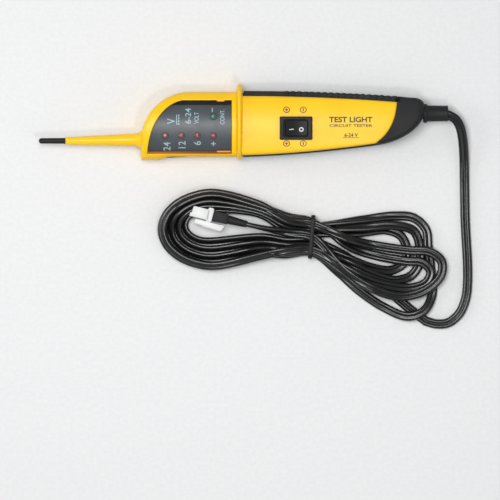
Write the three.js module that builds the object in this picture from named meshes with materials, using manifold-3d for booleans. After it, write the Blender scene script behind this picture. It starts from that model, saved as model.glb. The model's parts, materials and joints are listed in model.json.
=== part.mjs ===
// A hand-held circuit test light for 6 to 24 volt vehicle systems, in millimetres.
//
// It lies on its back: X runs from the probe tip (-X) to the cable boot (+X), Y across the
// body and +Z out of the display. The origin is on the resting plane, under the middle of the
// body's box. The body holds a circuit board with five lamps behind a domed window, a rocker
// switch in the handle and a needle probe in the nose. A flat twin lead leaves the boot, lies on
// the ground and is folded into a tied hank that ends in a two-way latching connector.

import * as THREE from "three";
import { mergeVertices } from "three/addons/utils/BufferGeometryUtils.js";
import Module from "manifold-3d";

const wasm = await Module();
wasm.setup();

// ---------------------------------------------------------------- driving dimensions

const GAP = 0.3; // between neighbouring pieces
const WALL = 2; // housing walls
const SEAM_Z = 13; // plane where the upper and lower shells meet, and height of the probe axis
const TALL = 40; // taller than the body, for cuts

const HEAD = { left: -66.2, top: 19.3, bottom: -22.3, foot: -24.2, right: -3 };
const HEAD_DOME = { radius: 29, y: -2, z: -3 }; // dome over the display, about a line along X
const WINDOW = { right: -7.5, top: 13.7, bottom: -20.8, left: -62 };
const HANDLE = { top: 16.8, bottom: -21.7, rear: 100.1, rearTop: 12.7, rearLow: 86.5, rearBottom: -13.8 };
const HANDLE_DOME = { radius: 60, y: -2.5, crown: 27, fall: 2.5 }; // fall: how much lower its rear end is
const GRIP = { top: 19.8, bottom: -22.5, end: 117, rim: 4, band: 17 }; // band: height of the rubber beside the cover

const GUARD = { x: -2.45, thick: 4.3, halfWidth: 24.8, halfHeight: 18 };

const PROBE_Y = -12.3;
const NOSE = { tip: -116, tipRadius: 2.4, base: -70, baseRadius: 3.9, root: -64, rootRadius: 6.4 };
const NEEDLE = { tip: -131, back: -66, radius: 1, point: 5 };
const SOCKET = { front: -74, back: -61.5, radius: 2.5 };
const TIP_CAP = { tip: -132.3, radius: 1.8, bore: 1.3 };

const BOOT = { y: 5.4, end: 132.3, radius: 5, collarX: 117.3, collarRadius: 6.1 };

const BOARD = { top: 11.6, thick: 1.6 };
const LED = { radius: 2.5, height: 9.4, pitch: 10.35, firstX: -50.4, redY: -8.9, greenY: 3.2 };

const SWITCH = { x: 33.9, y: -4.5, pivotZ: 26.2, length: 21, width: 15, tilt: 10 };
const CONTACT = { drop: 11, tilt: 8, length: 11 }; // drop: below the rocker's pivot

const SCREWS = [
  { name: "case_screw_guard_top", x: -4, y: 12, top: 20 },
  { name: "case_screw_guard_bottom", x: -4, y: -13, top: 20 },
  { name: "case_screw_handle_mid", x: 56, y: -2, top: 20 },
  { name: "case_screw_handle_rear", x: 84, y: -1, top: 19 },
];
const SCREW = { head: 2.6, headHeight: 1.8, shaft: 1.3, recess: 0.6 };

const CORD = { width: 6.2, thick: 3.1 };
const HANK = { height: 11.4, pocket: 6.2 }; // pocket: height of the strands under the connector
const TIE = { x: 44.3, width: 2.6, thick: 0.9 };
const PLUG = { x: -21.6, y: -60.3, turn: -14, height: 8.6, lift: HANK.pocket + GAP };

// ---------------------------------------------------------------- materials

function finish(colour, roughness, metalness = 0) {
  return new THREE.MeshStandardMaterial({ color: colour, roughness, metalness });
}

const YELLOW = finish(0xf9c21b, 0.38);
const RUBBER = finish(0x2b2b2c, 0.6);
const BLACK = finish(0x1c1c1d, 0.45);
const SMOKED = finish(0x59626b, 0.08);
const MASK = finish(0x3c4147, 0.5);
const RED_LENS = finish(0xa03038, 0.15);
const GREEN_LENS = finish(0x2f6b4c, 0.15);
const BOARD_GREEN = finish(0x1d5a38, 0.5);
const STEEL = finish(0xb4b6b8, 0.3, 1);
const BRASS = finish(0xc6a553, 0.35, 1);
const WHITE = finish(0xf0f0ee, 0.4);
const CORD_BLACK = finish(0x1a1a1b, 0.4);
const WIRE_RED = finish(0xb5222a, 0.45);

// ---------------------------------------------------------------- solids

function solidOf(geometry) {
  const bare = geometry.index ? geometry.toNonIndexed() : geometry.clone();
  bare.deleteAttribute("normal");
  bare.deleteAttribute("uv");
  const merged = mergeVertices(bare, 1e-4);
  return new wasm.Manifold(
    new wasm.Mesh({
      numProp: 3,
      vertProperties: merged.attributes.position.array,
      triVerts: new Uint32Array(merged.index.array),
    }),
  );
}

function geometryOf(solid) {
  const mesh = solid.getMesh();
  const geometry = new THREE.BufferGeometry();
  geometry.setAttribute("position", new THREE.BufferAttribute(mesh.vertProperties, 3));
  geometry.setIndex(new THREE.BufferAttribute(mesh.triVerts, 1));
  return geometry;
}

function join(first, ...others) {
  return others.reduce((sum, other) => sum.add(other), first);
}

function cut(first, ...others) {
  return others.reduce((rest, other) => rest.subtract(other), first);
}

// A box between two corners.
function block(x0, x1, y0, y1, z0, z1) {
  const geometry = new THREE.BoxGeometry(x1 - x0, y1 - y0, z1 - z0);
  geometry.translate((x0 + x1) / 2, (y0 + y1) / 2, (z0 + z1) / 2);
  return solidOf(geometry);
}

// A shape drawn in XY, from z0 to z1, with its edges rounded by rim at both ends.
function slab(shape, z0, z1, rim = 0, curveSegments = 8) {
  const geometry = new THREE.ExtrudeGeometry(shape, {
    depth: z1 - z0 - 2 * rim,
    curveSegments,
    bevelEnabled: rim > 0,
    bevelThickness: rim,
    bevelSize: rim,
    bevelOffset: -rim,
    bevelSegments: 3,
  });
  geometry.translate(0, 0, z0 + rim);
  return solidOf(geometry);
}

// A cylinder along X, about the line at (y, z).
function barrel(x0, x1, radius, y, z, sides = 24) {
  const geometry = new THREE.CylinderGeometry(radius, radius, x1 - x0, sides);
  geometry.rotateZ(-Math.PI / 2);
  geometry.translate((x0 + x1) / 2, y, z);
  return solidOf(geometry);
}

// A cylinder along Z.
function post(x, y, z0, z1, radius, sides = 16) {
  const geometry = new THREE.CylinderGeometry(radius, radius, z1 - z0, sides);
  geometry.rotateX(Math.PI / 2);
  geometry.translate(x, y, (z0 + z1) / 2);
  return solidOf(geometry);
}

// A round body turned about a line along X: profile lists [x, radius], from -X to +X.
function turned(profile, y, z, sides = 20) {
  const points = profile.map(([x, radius]) => new THREE.Vector2(radius, x));
  const geometry = new THREE.LatheGeometry(points, sides);
  geometry.rotateZ(-Math.PI / 2);
  geometry.translate(0, y, z);
  return solidOf(geometry);
}

function polygon(points) {
  return new THREE.Shape(points.map(([x, y]) => new THREE.Vector2(x, y)));
}

// A line with a fixed up direction, so that a flat section swept along it keeps its flat side down.
class LevelCurve extends THREE.CatmullRomCurve3 {
  computeFrenetFrames(segments) {
    const frames = { tangents: [], normals: [], binormals: [] };
    for (let i = 0; i <= segments; i++) {
      const tangent = this.getTangentAt(i / segments);
      const side = new THREE.Vector3(0, 0, 1).cross(tangent).normalize();
      frames.tangents.push(tangent);
      frames.normals.push(side);
      frames.binormals.push(tangent.clone().cross(side));
    }
    return frames;
  }
}

// A tube of oval section along points. width lies level, thick stands up.
function tube(points, width, thick, steps, sides = 8) {
  const curve = new LevelCurve(points.map((p) => new THREE.Vector3(...p)));
  const section = new THREE.Shape();
  section.absellipse(0, 0, width / 2, thick / 2, 0, 2 * Math.PI);
  return solidOf(
    new THREE.ExtrudeGeometry(section, { steps, extrudePath: curve, curveSegments: sides, bevelEnabled: false }),
  );
}

// ---------------------------------------------------------------- outlines

// The head seen from above, drawn inset by i.
function headOutline(i = 0) {
  const shape = new THREE.Shape();
  shape.moveTo(HEAD.left + i, HEAD.foot + i);
  shape.lineTo(-53.6, HEAD.foot + i);
  shape.lineTo(-48.6, HEAD.bottom + i);
  shape.lineTo(HEAD.right, HEAD.bottom + i);
  shape.lineTo(HEAD.right, HEAD.top - i);
  shape.lineTo(-35, HEAD.top - i);
  shape.bezierCurveTo(-47.5 + i / 2, HEAD.top - i, -61.5 + i, 10 - i, -65.3 + i, -6.5);
  shape.lineTo(HEAD.left + i, HEAD.foot + i);
  return shape;
}

// The display opening seen from above, drawn inset by i.
function windowOutline(i = 0) {
  const shape = new THREE.Shape();
  shape.moveTo(WINDOW.left + i, WINDOW.bottom + i);
  shape.lineTo(WINDOW.right - i, WINDOW.bottom + i);
  shape.lineTo(WINDOW.right - i, WINDOW.top - i);
  shape.lineTo(-38.8 + i / 2, WINDOW.top - i);
  shape.bezierCurveTo(-49 + i, 12.5 - i, -60.5 + i, 0.5, WINDOW.left + i, WINDOW.bottom + i);
  return shape;
}

// The yellow cover of the handle seen from above, drawn inset by i.
function handleOutline(i = 0, start = -1) {
  const shape = new THREE.Shape();
  shape.moveTo(start, HANDLE.bottom + i);
  shape.quadraticCurveTo(38, -20.8 + i, HANDLE.rearLow - i / 2, HANDLE.rearBottom + i);
  shape.quadraticCurveTo(99.6 - i, -5.5, HANDLE.rear - i, HANDLE.rearTop - i);
  shape.quadraticCurveTo(50, 16.6 - i, start, HANDLE.top - i);
  return shape;
}

// The black handle shell and rear hood seen from above, drawn inset by i.
function gripOutline(i = 0, start = 0) {
  const shape = new THREE.Shape();
  shape.moveTo(start, GRIP.bottom + i);
  shape.quadraticCurveTo(38, -21.6 + i, 87, -14.9 + i);
  shape.bezierCurveTo(101 - i / 2, -13 + i, 113.5 - i, -5.5 + i / 2, GRIP.end - 0.4 - i, 4);
  shape.lineTo(GRIP.end - i, 9.5);
  shape.quadraticCurveTo(GRIP.end - i, 15.2 - i, 110, 15.5 - i);
  shape.quadraticCurveTo(50, 20 - i, start, GRIP.top - i);
  return shape;
}

// ---------------------------------------------------------------- domes

// The space under the head's dome, lowered by i.
function headDome(i = 0) {
  return barrel(HEAD.left - 10, 0, HEAD_DOME.radius - i, HEAD_DOME.y, HEAD_DOME.z, 72);
}

// The space under the handle's dome, lowered by i: a wide barrel that falls towards the rear.
function handleDome(i = 0) {
  const length = 140;
  const { radius, y, crown, fall } = HANDLE_DOME;
  const geometry = new THREE.CylinderGeometry(radius - i, radius - i, length, 96);
  geometry.rotateZ(-Math.PI / 2);
  geometry.rotateY(Math.atan(fall / HANDLE.rear));
  geometry.translate(HANDLE.rear / 2, y, crown - fall / 2 - radius);
  return solidOf(geometry);
}

const aboveSeam = () => block(-140, 140, -40, 40, SEAM_Z + GAP / 2, TALL);
const belowSeam = () => block(-140, 140, -40, 40, -TALL, SEAM_Z - GAP / 2);

// ---------------------------------------------------------------- yellow housing

// The nose cone around the probe, flared where it grows out of the head.
function noseCone() {
  return turned(
    [
      [NOSE.tip, 0],
      [NOSE.tip, NOSE.tipRadius - 0.4],
      [NOSE.tip + 0.5, NOSE.tipRadius],
      [NOSE.base, NOSE.baseRadius],
      [-67.6, 4.5],
      [NOSE.root, NOSE.rootRadius],
      [NOSE.root, 0],
    ],
    PROBE_Y,
    SEAM_Z,
  );
}

// The room for the needle and its socket in the nose.
function noseBore() {
  return join(
    barrel(NOSE.tip - 1, SOCKET.back, NEEDLE.radius + GAP, PROBE_Y, SEAM_Z, 16),
    barrel(SOCKET.front - GAP, SOCKET.back + 1, SOCKET.radius + GAP, PROBE_Y, SEAM_Z, 16),
  );
}

// The finger guard: an oval flange with a rounded rim, flat where the tool rests.
function guardFlange() {
  const oval = new THREE.Shape();
  oval.absellipse(0, 0, GUARD.halfHeight, GUARD.halfWidth, 0, 2 * Math.PI);
  const rim = 1.5;
  const geometry = new THREE.ExtrudeGeometry(oval, {
    depth: GUARD.thick - 2 * rim,
    curveSegments: 20,
    bevelThickness: rim,
    bevelSize: rim,
    bevelOffset: -rim,
    bevelSegments: 2,
  });
  geometry.rotateY(Math.PI / 2);
  geometry.translate(GUARD.x - GUARD.thick / 2 + rim, 0, SEAM_Z);
  return solidOf(geometry).subtract(block(-20, 20, -40, 40, -TALL, 0));
}

// The hollow of the head, the handle and the passage between them.
function headHollow() {
  return cut(
    slab(headOutline(WALL), WALL, TALL).intersect(headDome(WALL)),
    block(-8, 0, -40, 40, 0, TALL),
  );
}

function handleHollow() {
  return slab(handleOutline(WALL, 1.5), WALL, TALL).intersect(handleDome(WALL));
}

const passage = () => block(-9, 3, -6, 7, 5, 18);

function screwBoss(screw, z0, z1, radius) {
  return post(screw.x, screw.y, z0, z1, radius);
}

function upperHousing() {
  const head = slab(headOutline(), 0, TALL).intersect(headDome());
  const handle = slab(handleOutline(), 0, 29, 1.6).intersect(handleDome());
  const pad = block(SWITCH.x - 11.2, SWITCH.x + 11.2, SWITCH.y - 8.2, SWITCH.y + 8.2, 22, SWITCH.pivotZ - 0.1);
  let shell = join(head, handle, noseCone(), guardFlange(), pad);
  shell = cut(shell, headHollow(), handleHollow(), passage(), slab(windowOutline(), SEAM_Z, TALL), noseBore());
  for (const screw of SCREWS) {
    const boss = screwBoss(screw, SEAM_Z, TALL, 2.7).intersect(join(headDome(0.5), handleDome(0.5)));
    shell = cut(shell.add(boss), screwBoss(screw, 0, screw.top + GAP, SCREW.shaft + GAP));
  }
  const { x, y, length, width } = SWITCH;
  const cutout = block(x - length / 2 + 0.8, x + length / 2 - 0.8, y - width / 2 + 0.9, y + width / 2 - 0.9, 10, TALL);
  return cut(shell, cutout).intersect(aboveSeam());
}

function lowerHousing() {
  const head = slab(headOutline(), 0, TALL);
  const joined = join(head, noseCone(), guardFlange());
  let shell = cut(joined, headHollow(), passage(), noseBore());
  for (const screw of SCREWS.filter((s) => s.x < 0)) {
    shell = shell.add(screwBoss(screw, 0, SEAM_Z, 3.6).intersect(joined));
    shell = cut(
      shell,
      screwBoss(screw, -1, TALL, SCREW.shaft + GAP),
      screwBoss(screw, -1, SCREW.recess + SCREW.headHeight + GAP, SCREW.head + GAP),
    );
  }
  for (const [x, y] of [[-52, -17], [-12, -17], [-12, 8]]) {
    shell = shell.add(post(x, y, 1, BOARD.top - BOARD.thick - GAP, 2.2));
  }
  return shell.intersect(belowSeam());
}

// ---------------------------------------------------------------- black handle shell

// Cross ribs on the long side of the rubber grip.
function gripRibs() {
  const ribs = [];
  for (let x = 26; x <= 98; x += 4.5) {
    const side = 19.9 - 3.9 * (x / 104) ** 1.6;
    ribs.push(block(x - 0.9, x + 0.9, side - 2, side + 0.5, 4, GRIP.band - 1));
  }
  return ribs;
}

function handleShell() {
  const outside = join(slab(gripOutline(), 0, 28, GRIP.rim, 10).intersect(handleDome()), ...gripRibs());
  const cover = slab(handleOutline(-GAP, -1), SEAM_Z - GAP / 2, TALL);
  const overBand = cut(block(-5, 100.4, 0, 40, GRIP.band, TALL), slab(handleOutline(), 0, TALL));
  const overLow = block(-5, 86, -40, 0, SEAM_Z + 1, TALL);
  const hollow = join(
    slab(gripOutline(WALL + 1.2, 2), WALL, 24, 1).intersect(handleDome(WALL)),
    slab(handleOutline(WALL, 1.5), SEAM_Z - 3, TALL),
  );
  let shell = cut(outside, cover, overBand, overLow, hollow, passage(), block(-10, 0.1, -40, 40, -1, TALL));
  shell = cut(shell, barrel(100, 125, 4.4, BOOT.y, SEAM_Z));
  for (const screw of SCREWS.filter((s) => s.x > 0)) {
    shell = shell.add(screwBoss(screw, 0, SEAM_Z - GAP / 2, 3.6));
    shell = cut(
      shell,
      screwBoss(screw, -1, TALL, SCREW.shaft + GAP),
      screwBoss(screw, -1, SCREW.recess + SCREW.headHeight + GAP, SCREW.head + GAP),
    );
  }
  return shell;
}

// ---------------------------------------------------------------- display

// A bent plate under the head's dome, between two depths below it.
function bentPlate(shape, near, far) {
  return cut(slab(shape, SEAM_Z - 5, TALL).intersect(headDome(near)), headDome(far));
}

function displayWindow() {
  const flange = bentPlate(windowOutline(-1.1), WALL + GAP, WALL + GAP + 1);
  const raised = bentPlate(windowOutline(GAP), 1.2, WALL + GAP + 0.1);
  const keepOut = slab(headOutline(WALL + GAP), 0, TALL);
  return join(flange, raised).intersect(keepOut).intersect(block(-80, -8 - GAP, -40, 40, BOARD.top + 1, TALL));
}

function displayMask() {
  const bent = bentPlate(windowOutline(0.6), WALL + 1.6 + 2 * GAP, WALL + 2.6 + 2 * GAP);
  const plate = bent.intersect(block(-80, 0, -40, 40, BOARD.top + 1, TALL));
  const holes = ledPlaces().map(([x, y]) => post(x, y, 0, TALL, LED.radius + GAP + 0.1, 20));
  return cut(plate, ...holes);
}

function ledPlaces() {
  const reds = [0, 1, 2, 3].map((n) => [LED.firstX + n * LED.pitch, LED.redY]);
  return [...reds, [LED.firstX + 3 * LED.pitch, LED.greenY]];
}

// A 5 mm lamp standing on the board, its foot at the local origin.
function ledBody() {
  const dome = LED.height - LED.radius;
  const profile = [
    [0, 0],
    [2.9, 0],
    [2.9, 1],
    [LED.radius, 1],
    [LED.radius, dome],
    ...[30, 60].map((a) => [LED.radius * Math.cos((a * Math.PI) / 180), dome + LED.radius * Math.sin((a * Math.PI) / 180)]),
    [0, LED.height],
  ];
  const geometry = new THREE.LatheGeometry(profile.map(([r, z]) => new THREE.Vector2(r, z)), 14);
  geometry.rotateX(Math.PI / 2);
  return solidOf(geometry);
}

function circuitBoard() {
  const outline = polygon([
    [-58, -19.4],
    [-9, -19.4],
    [-9, 10],
    [-44, 10],
    [-55.5, -2],
  ]);
  return slab(outline, BOARD.top - BOARD.thick, BOARD.top);
}

// ---------------------------------------------------------------- probe

function needle() {
  return turned(
    [
      [NEEDLE.tip, 0],
      [NEEDLE.tip + NEEDLE.point, NEEDLE.radius],
      [NEEDLE.back, NEEDLE.radius],
      [NEEDLE.back, 0],
    ],
    PROBE_Y,
    SEAM_Z,
    12,
  );
}

function needleSocket() {
  return cut(
    barrel(SOCKET.front, SOCKET.back, SOCKET.radius, PROBE_Y, SEAM_Z, 16),
    barrel(SOCKET.front - 1, NEEDLE.back + GAP, NEEDLE.radius + GAP, PROBE_Y, SEAM_Z, 12),
  );
}

// The slip-on cap that covers the needle: a thin tube with a domed, closed end.
function tipCap() {
  const { tip, radius, bore } = TIP_CAP;
  const mouth = NOSE.tip - GAP;
  return turned(
    [
      [tip, 0],
      [tip + 0.25, radius * 0.6],
      [tip + 1, radius * 0.95],
      [tip + 1.6, radius],
      [mouth, radius],
      [mouth, bore],
      [tip + 3.2, bore],
      [tip + 1.1, 0.35],
      [tip + 1, 0],
    ],
    PROBE_Y,
    SEAM_Z,
  );
}

// ---------------------------------------------------------------- rocker switch

// Everything in the switch is drawn about the rocker's pivot, with its axle along Y.
function upright(shape, halfWidth) {
  const geometry = new THREE.ExtrudeGeometry(shape, { depth: 2 * halfWidth, bevelEnabled: false, curveSegments: 4 });
  geometry.rotateX(Math.PI / 2);
  geometry.translate(0, halfWidth, 0);
  return solidOf(geometry);
}

function axle(radius, halfLength) {
  return solidOf(new THREE.CylinderGeometry(radius, radius, 2 * halfLength, 12));
}

function switchCase() {
  const bezel = slab(polygon([[-10.5, -7.5], [10.5, -7.5], [10.5, 7.5], [-10.5, 7.5]]), 0.2, 2.2, 0.6);
  const body = block(-9.4, 9.4, -6.3, 6.3, -14.4, 0.5);
  const well = block(-7.8, 7.8, -5.2, 5.2, -12.9, 5);
  const slots = [-6, 0, 6].map((x) => block(x - 0.7, x + 0.7, -2.7, 2.7, -15, -12));
  return cut(join(bezel, body), well, axle(1.5, 7), ...slots);
}

// The paddle: two faces that meet in a shallow valley, a stem below and an axle through its middle.
function rocker() {
  const paddle = new THREE.Shape();
  paddle.moveTo(-6.9, 3);
  paddle.quadraticCurveTo(0, 1.2, 6.9, 3);
  for (const [x, z] of [[6.9, -1.2], [3, -3.2], [1.9, -3.6], [1.9, -8], [-1.9, -8], [-1.9, -3.6], [-3, -3.2], [-6.9, -1.2]]) {
    paddle.lineTo(x, z);
  }
  const stem = new THREE.CylinderGeometry(1.2 + GAP / 2, 1.2 + GAP / 2, 8, 12);
  stem.rotateX(Math.PI / 2);
  stem.translate(0, 0, -6.5);
  return cut(join(upright(paddle, 4.85), axle(1.2, 6)), solidOf(stem));
}

// A sprung pin in the rocker's stem that pushes on the contact.
function plunger() {
  const points = [[0, -10.5], [0.5, -10.3], [0.9, -9.6], [0.9, -7], [0, -7]].map(([r, z]) => new THREE.Vector2(r, z));
  const geometry = new THREE.LatheGeometry(points, 10);
  geometry.rotateX(Math.PI / 2);
  return solidOf(geometry);
}

function plungerSpring() {
  class Helix extends THREE.Curve {
    getPoint(t) {
      const turn = 2 * Math.PI * 4 * t;
      return new THREE.Vector3(0.75 * Math.cos(turn), 0.75 * Math.sin(turn), -6.5 + 3.2 * t);
    }
  }
  const wire = new THREE.Shape();
  wire.absellipse(0, 0, 0.17, 0.17, 0, 2 * Math.PI);
  return solidOf(
    new THREE.ExtrudeGeometry(wire, { steps: 40, extrudePath: new Helix(), curveSegments: 3, bevelEnabled: false }),
  );
}

// The see-saw contact, drawn about the edge it rocks on.
function contactBlade() {
  const half = CONTACT.length / 2;
  return join(
    block(-half, half, -1.7, 1.7, -0.25, 0.25),
    block(-half, -half + 1.6, -1.1, 1.1, -0.5, -0.2),
    block(half - 1.6, half, -1.1, 1.1, -0.5, -0.2),
  );
}

// A flat solder blade under the switch. top is where its contact face ends inside the case.
function terminal(top) {
  return block(-0.4, 0.4, -2.4, 2.4, -20, top);
}

// ---------------------------------------------------------------- cable boot and lead

function cableBoot() {
  return turned(
    [
      [109, 0],
      [109, 5.4],
      [110.4, 5.4],
      [110.4, 4.1],
      [BOOT.collarX, 4.1],
      [BOOT.collarX, BOOT.collarRadius - 0.5],
      [BOOT.collarX + 0.5, BOOT.collarRadius],
      [BOOT.collarX + 1.3, BOOT.collarRadius],
      [BOOT.collarX + 1.8, BOOT.radius + 0.2],
      [BOOT.end - 0.5, BOOT.radius - 0.2],
      [BOOT.end, BOOT.radius - 0.7],
      [BOOT.end, 0],
    ],
    BOOT.y,
    SEAM_Z,
  );
}

// Where the lead lies between the boot and the hank: out, down to the ground, along the body's
// rear, round to the left and into the tied waist.
const LEAD_ROUTE = [
  [134.1, 3.7, 12.7],
  [137.4, 1.6, 12.1],
  [140.2, -3.0, 10.7],
  [141.9, -9.6, 8.5],
  [142.9, -18.0, 5.6],
  [143.4, -27.5, 3.0],
  [143.6, -37.0, 1.9],
  [143.8, -50.0, 1.65],
  [144.1, -64.0, 1.65],
  [144.9, -79.0, 1.65],
  [145.6, -92.0, 1.65],
  [145.6, -104.0, 1.65],
  [144.4, -114.5, 1.65],
  [140.4, -124.0, 1.65],
  [133.4, -130.0, 1.65],
  [125.6, -131.0, 1.65],
  [118.6, -129.2, 1.65],
];

// The hank from above: loops round the connector at the left, a waist under the tie, and the bends
// that fan out at the right.
function hankOutline() {
  const shape = new THREE.Shape();
  shape.moveTo(44, -88.6);
  shape.bezierCurveTo(20, -91, 5, -95, -14, -95.5);
  shape.bezierCurveTo(-70, -96, -66, -44, -18, -44);
  shape.bezierCurveTo(5, -44, 22, -60, 44, -60.2);
  shape.bezierCurveTo(70, -60, 85, -57.5, 104, -58);
  shape.bezierCurveTo(122, -58.5, 132, -76, 132, -92);
  shape.bezierCurveTo(132, -108, 127, -121, 114, -124.5);
  shape.bezierCurveTo(98, -127, 74, -104, 44, -88.6);
  return shape;
}

// The room inside the left loops, where the connector lies on the lower strands.
function hankPocket() {
  const shape = new THREE.Shape();
  shape.moveTo(-22, -50);
  shape.bezierCurveTo(-8, -51, 4, -57, 10, -66);
  shape.bezierCurveTo(4, -76, -6, -84, -20, -84);
  shape.bezierCurveTo(-54, -84, -54, -50, -22, -50);
  return shape;
}

function tieBand(grow) {
  const half = TIE.width / 2 + grow;
  const outer = block(TIE.x - half, TIE.x + half, -89.6, -59.2, 0, HANK.height);
  const inner = block(TIE.x - 5, TIE.x + 5, -88.7 + grow, -60.1 - grow, TIE.thick + grow, HANK.height - TIE.thick - grow);
  return cut(outer, inner);
}

function cordHank() {
  const pocket = slab(hankPocket(), HANK.pocket, HANK.height + 1, 0, 6);
  return cut(slab(hankOutline(), 0, HANK.height, 0, 7), pocket, tieBand(GAP));
}

// ---------------------------------------------------------------- connector

// The connector is drawn about its collar, with its mouth towards -X and its latch towards -Y.
function connectorHousing() {
  const half = PLUG.height / 2;
  const nose = slab(polygon([[-12.8, -3.2], [0, -3.2], [0, 3.8], [-12.8, 3.8]]), -half, half, 0.4);
  const collar = slab(polygon([[-1.9, -4.2], [1.9, -4.2], [1.9, 4.8], [-1.9, 4.8]]), -half, half, 0.4);
  const ways = [-2, 2].map((z) => barrel(-14, -3, 1.1, 0.3, z, 12));
  return cut(join(nose, collar), ...ways);
}

function connectorLatch() {
  const arm = polygon([
    [-9.3, -7.4],
    [-8.2, -8],
    [-3.4, -7.8],
    [-2.6, -8.6],
    [10.8, -8.6],
    [10.8, -4.6],
    [-8.6, -4.6],
    [-9.3, -5.4],
  ]);
  return slab(arm, -2.6, 2.6, 0.3);
}

const contactPin = () => barrel(-11, -3 - GAP, 0.75, 0, 0, 10);

function connectorOvermould() {
  const half = 3.9;
  return slab(polygon([[2.2, -3.4], [12, -3.3], [12, 3.4], [2.2, 3.8]]), -half, half, 0.8);
}

function connectorRelief() {
  return turned([[12.3, 0], [12.3, 3.3], [23.8, 2.7], [24.6, 2.2], [24.6, 0]], 0, 0, 16);
}

// ---------------------------------------------------------------- assembly

const tester = new THREE.Group();

function add(parent, name, solid, material, place = {}) {
  const mesh = new THREE.Mesh(geometryOf(solid), material);
  mesh.name = name;
  mesh.position.set(...(place.at ?? [0, 0, 0]));
  mesh.rotation.set(...(place.turn ?? [0, 0, 0]));
  parent.add(mesh);
  return mesh;
}

add(tester, "upper_housing", upperHousing(), YELLOW);
add(tester, "lower_housing", lowerHousing(), YELLOW);
add(tester, "handle_shell", handleShell(), RUBBER);

add(tester, "display_window", displayWindow(), SMOKED);
add(tester, "display_mask", displayMask(), MASK);
add(tester, "circuit_board", circuitBoard(), BOARD_GREEN);
ledPlaces().forEach(([x, y], n) => {
  const names = ["led_24_volt", "led_12_volt", "led_6_volt", "led_positive", "led_negative"];
  add(tester, names[n], ledBody(), n < 4 ? RED_LENS : GREEN_LENS, { at: [x, y, BOARD.top + 0.1] });
});
add(tester, "comparator_chip", block(-38, -28, 0, 6.4, BOARD.top + 0.1, BOARD.top + 3.4), BLACK);
for (let n = 0; n < 3; n++) {
  const body = solidOf(new THREE.CylinderGeometry(1.1, 1.1, 6, 10));
  const x = LED.firstX + (n + 0.5) * LED.pitch;
  add(tester, `resistor_${n + 1}`, body, BRASS, { at: [x, -13.2, BOARD.top + 1.3] });
}

add(tester, "needle", needle(), STEEL);
add(tester, "needle_socket", needleSocket(), BRASS);
add(tester, "tip_cap", tipCap(), BLACK);

const switchUnit = new THREE.Group();
switchUnit.position.set(SWITCH.x, SWITCH.y, SWITCH.pivotZ);
tester.add(switchUnit);
const tilted = { turn: [0, THREE.MathUtils.degToRad(SWITCH.tilt), 0] };
add(switchUnit, "switch_case", switchCase(), BLACK);
add(switchUnit, "rocker", rocker(), BLACK, tilted);
add(switchUnit, "rocker_plunger", plunger(), BRASS, tilted);
add(switchUnit, "plunger_spring", plungerSpring(), STEEL, tilted);
add(switchUnit, "contact_blade", contactBlade(), BRASS, {
  at: [0, 0, -CONTACT.drop],
  turn: [0, THREE.MathUtils.degToRad(-CONTACT.tilt), 0],
});
[
  ["switch_terminal_plus", -6, -12.3],
  ["switch_terminal_common", 0, -11.6],
  ["switch_terminal_minus", 6, -12.3],
].forEach(([name, x, top]) => add(switchUnit, name, terminal(top), BRASS, { at: [x, 0, 0] }));

const WIRES = [
  ["needle_wire", CORD_BLACK, [[-61, PROBE_Y, 13], [-59.6, PROBE_Y - 0.5, 13.6], [-57.6, -12.6, 13.6], [-56.2, -12.4, 12.8]]],
  ["board_wire", CORD_BLACK, [[-8.6, 0, 10.9], [-2, 0.6, 9], [8, -1, 5.4], [22, -8.4, 4.2], [31, -8.4, 4.2], [33.8, -5.6, 5]]],
  ["plus_wire", WIRE_RED, [[108.6, 6.9, 13], [102, 6.8, 11], [88, 6.4, 6], [66, 5.4, 4.2], [52, 5, 4], [38, 2, 4], [30, -1.6, 4.2], [27.9, -4.2, 5]]],
  ["minus_wire", CORD_BLACK, [[108.6, 3.9, 13], [103, 2, 9.6], [93, -6.6, 4.6], [76, -8, 4], [56, -8, 4], [45, -6.5, 4], [40.1, -4.9, 5]]],
];
for (const [name, material, points] of WIRES) {
  add(tester, name, tube(points, 1.8, 1.8, 5 * (points.length - 1), 4), material);
}

for (const screw of SCREWS) {
  const head = post(0, 0, SCREW.recess, SCREW.recess + SCREW.headHeight, SCREW.head, 14);
  const shaft = post(0, 0, SCREW.recess + 0.5, screw.top, SCREW.shaft, 10);
  const cross = join(block(-1.6, 1.6, -0.3, 0.3, 0, 1.6), block(-0.3, 0.3, -1.6, 1.6, 0, 1.6));
  add(tester, screw.name, cut(head.add(shaft), cross), STEEL, { at: [screw.x, screw.y, 0] });
}

add(tester, "cable_boot", cableBoot(), RUBBER);
add(tester, "cord_lead", tube(LEAD_ROUTE, CORD.width, CORD.thick, 48), CORD_BLACK);
add(tester, "cord_hank", cordHank(), CORD_BLACK);
add(tester, "cord_tie", tieBand(0), BLACK);

const plug = new THREE.Group();
plug.position.set(PLUG.x, PLUG.y, PLUG.lift + PLUG.height / 2);
plug.rotation.z = THREE.MathUtils.degToRad(PLUG.turn);
tester.add(plug);
add(plug, "connector_housing", connectorHousing(), WHITE);
add(plug, "connector_latch", connectorLatch(), WHITE);
add(plug, "connector_contact_1", contactPin(), BRASS, { at: [0, 0.3, -2] });
add(plug, "connector_contact_2", contactPin(), BRASS, { at: [0, 0.3, 2] });
add(plug, "connector_overmould", connectorOvermould(), BLACK);
add(plug, "connector_relief", connectorRelief(), BLACK);

export default tester;
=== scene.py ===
"""Circuit test light: the fine surfaces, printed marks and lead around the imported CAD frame.

Shapes are drawn in millimetres, in the row's frame: X from the probe tip to the cable boot, Y across
the body, Z out of the display. The tester lies on its back on a pale floor, seen from straight above.
"""

import json
from math import ceil, copysign, cos, dist, hypot, pi, radians, sin, sqrt

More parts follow.
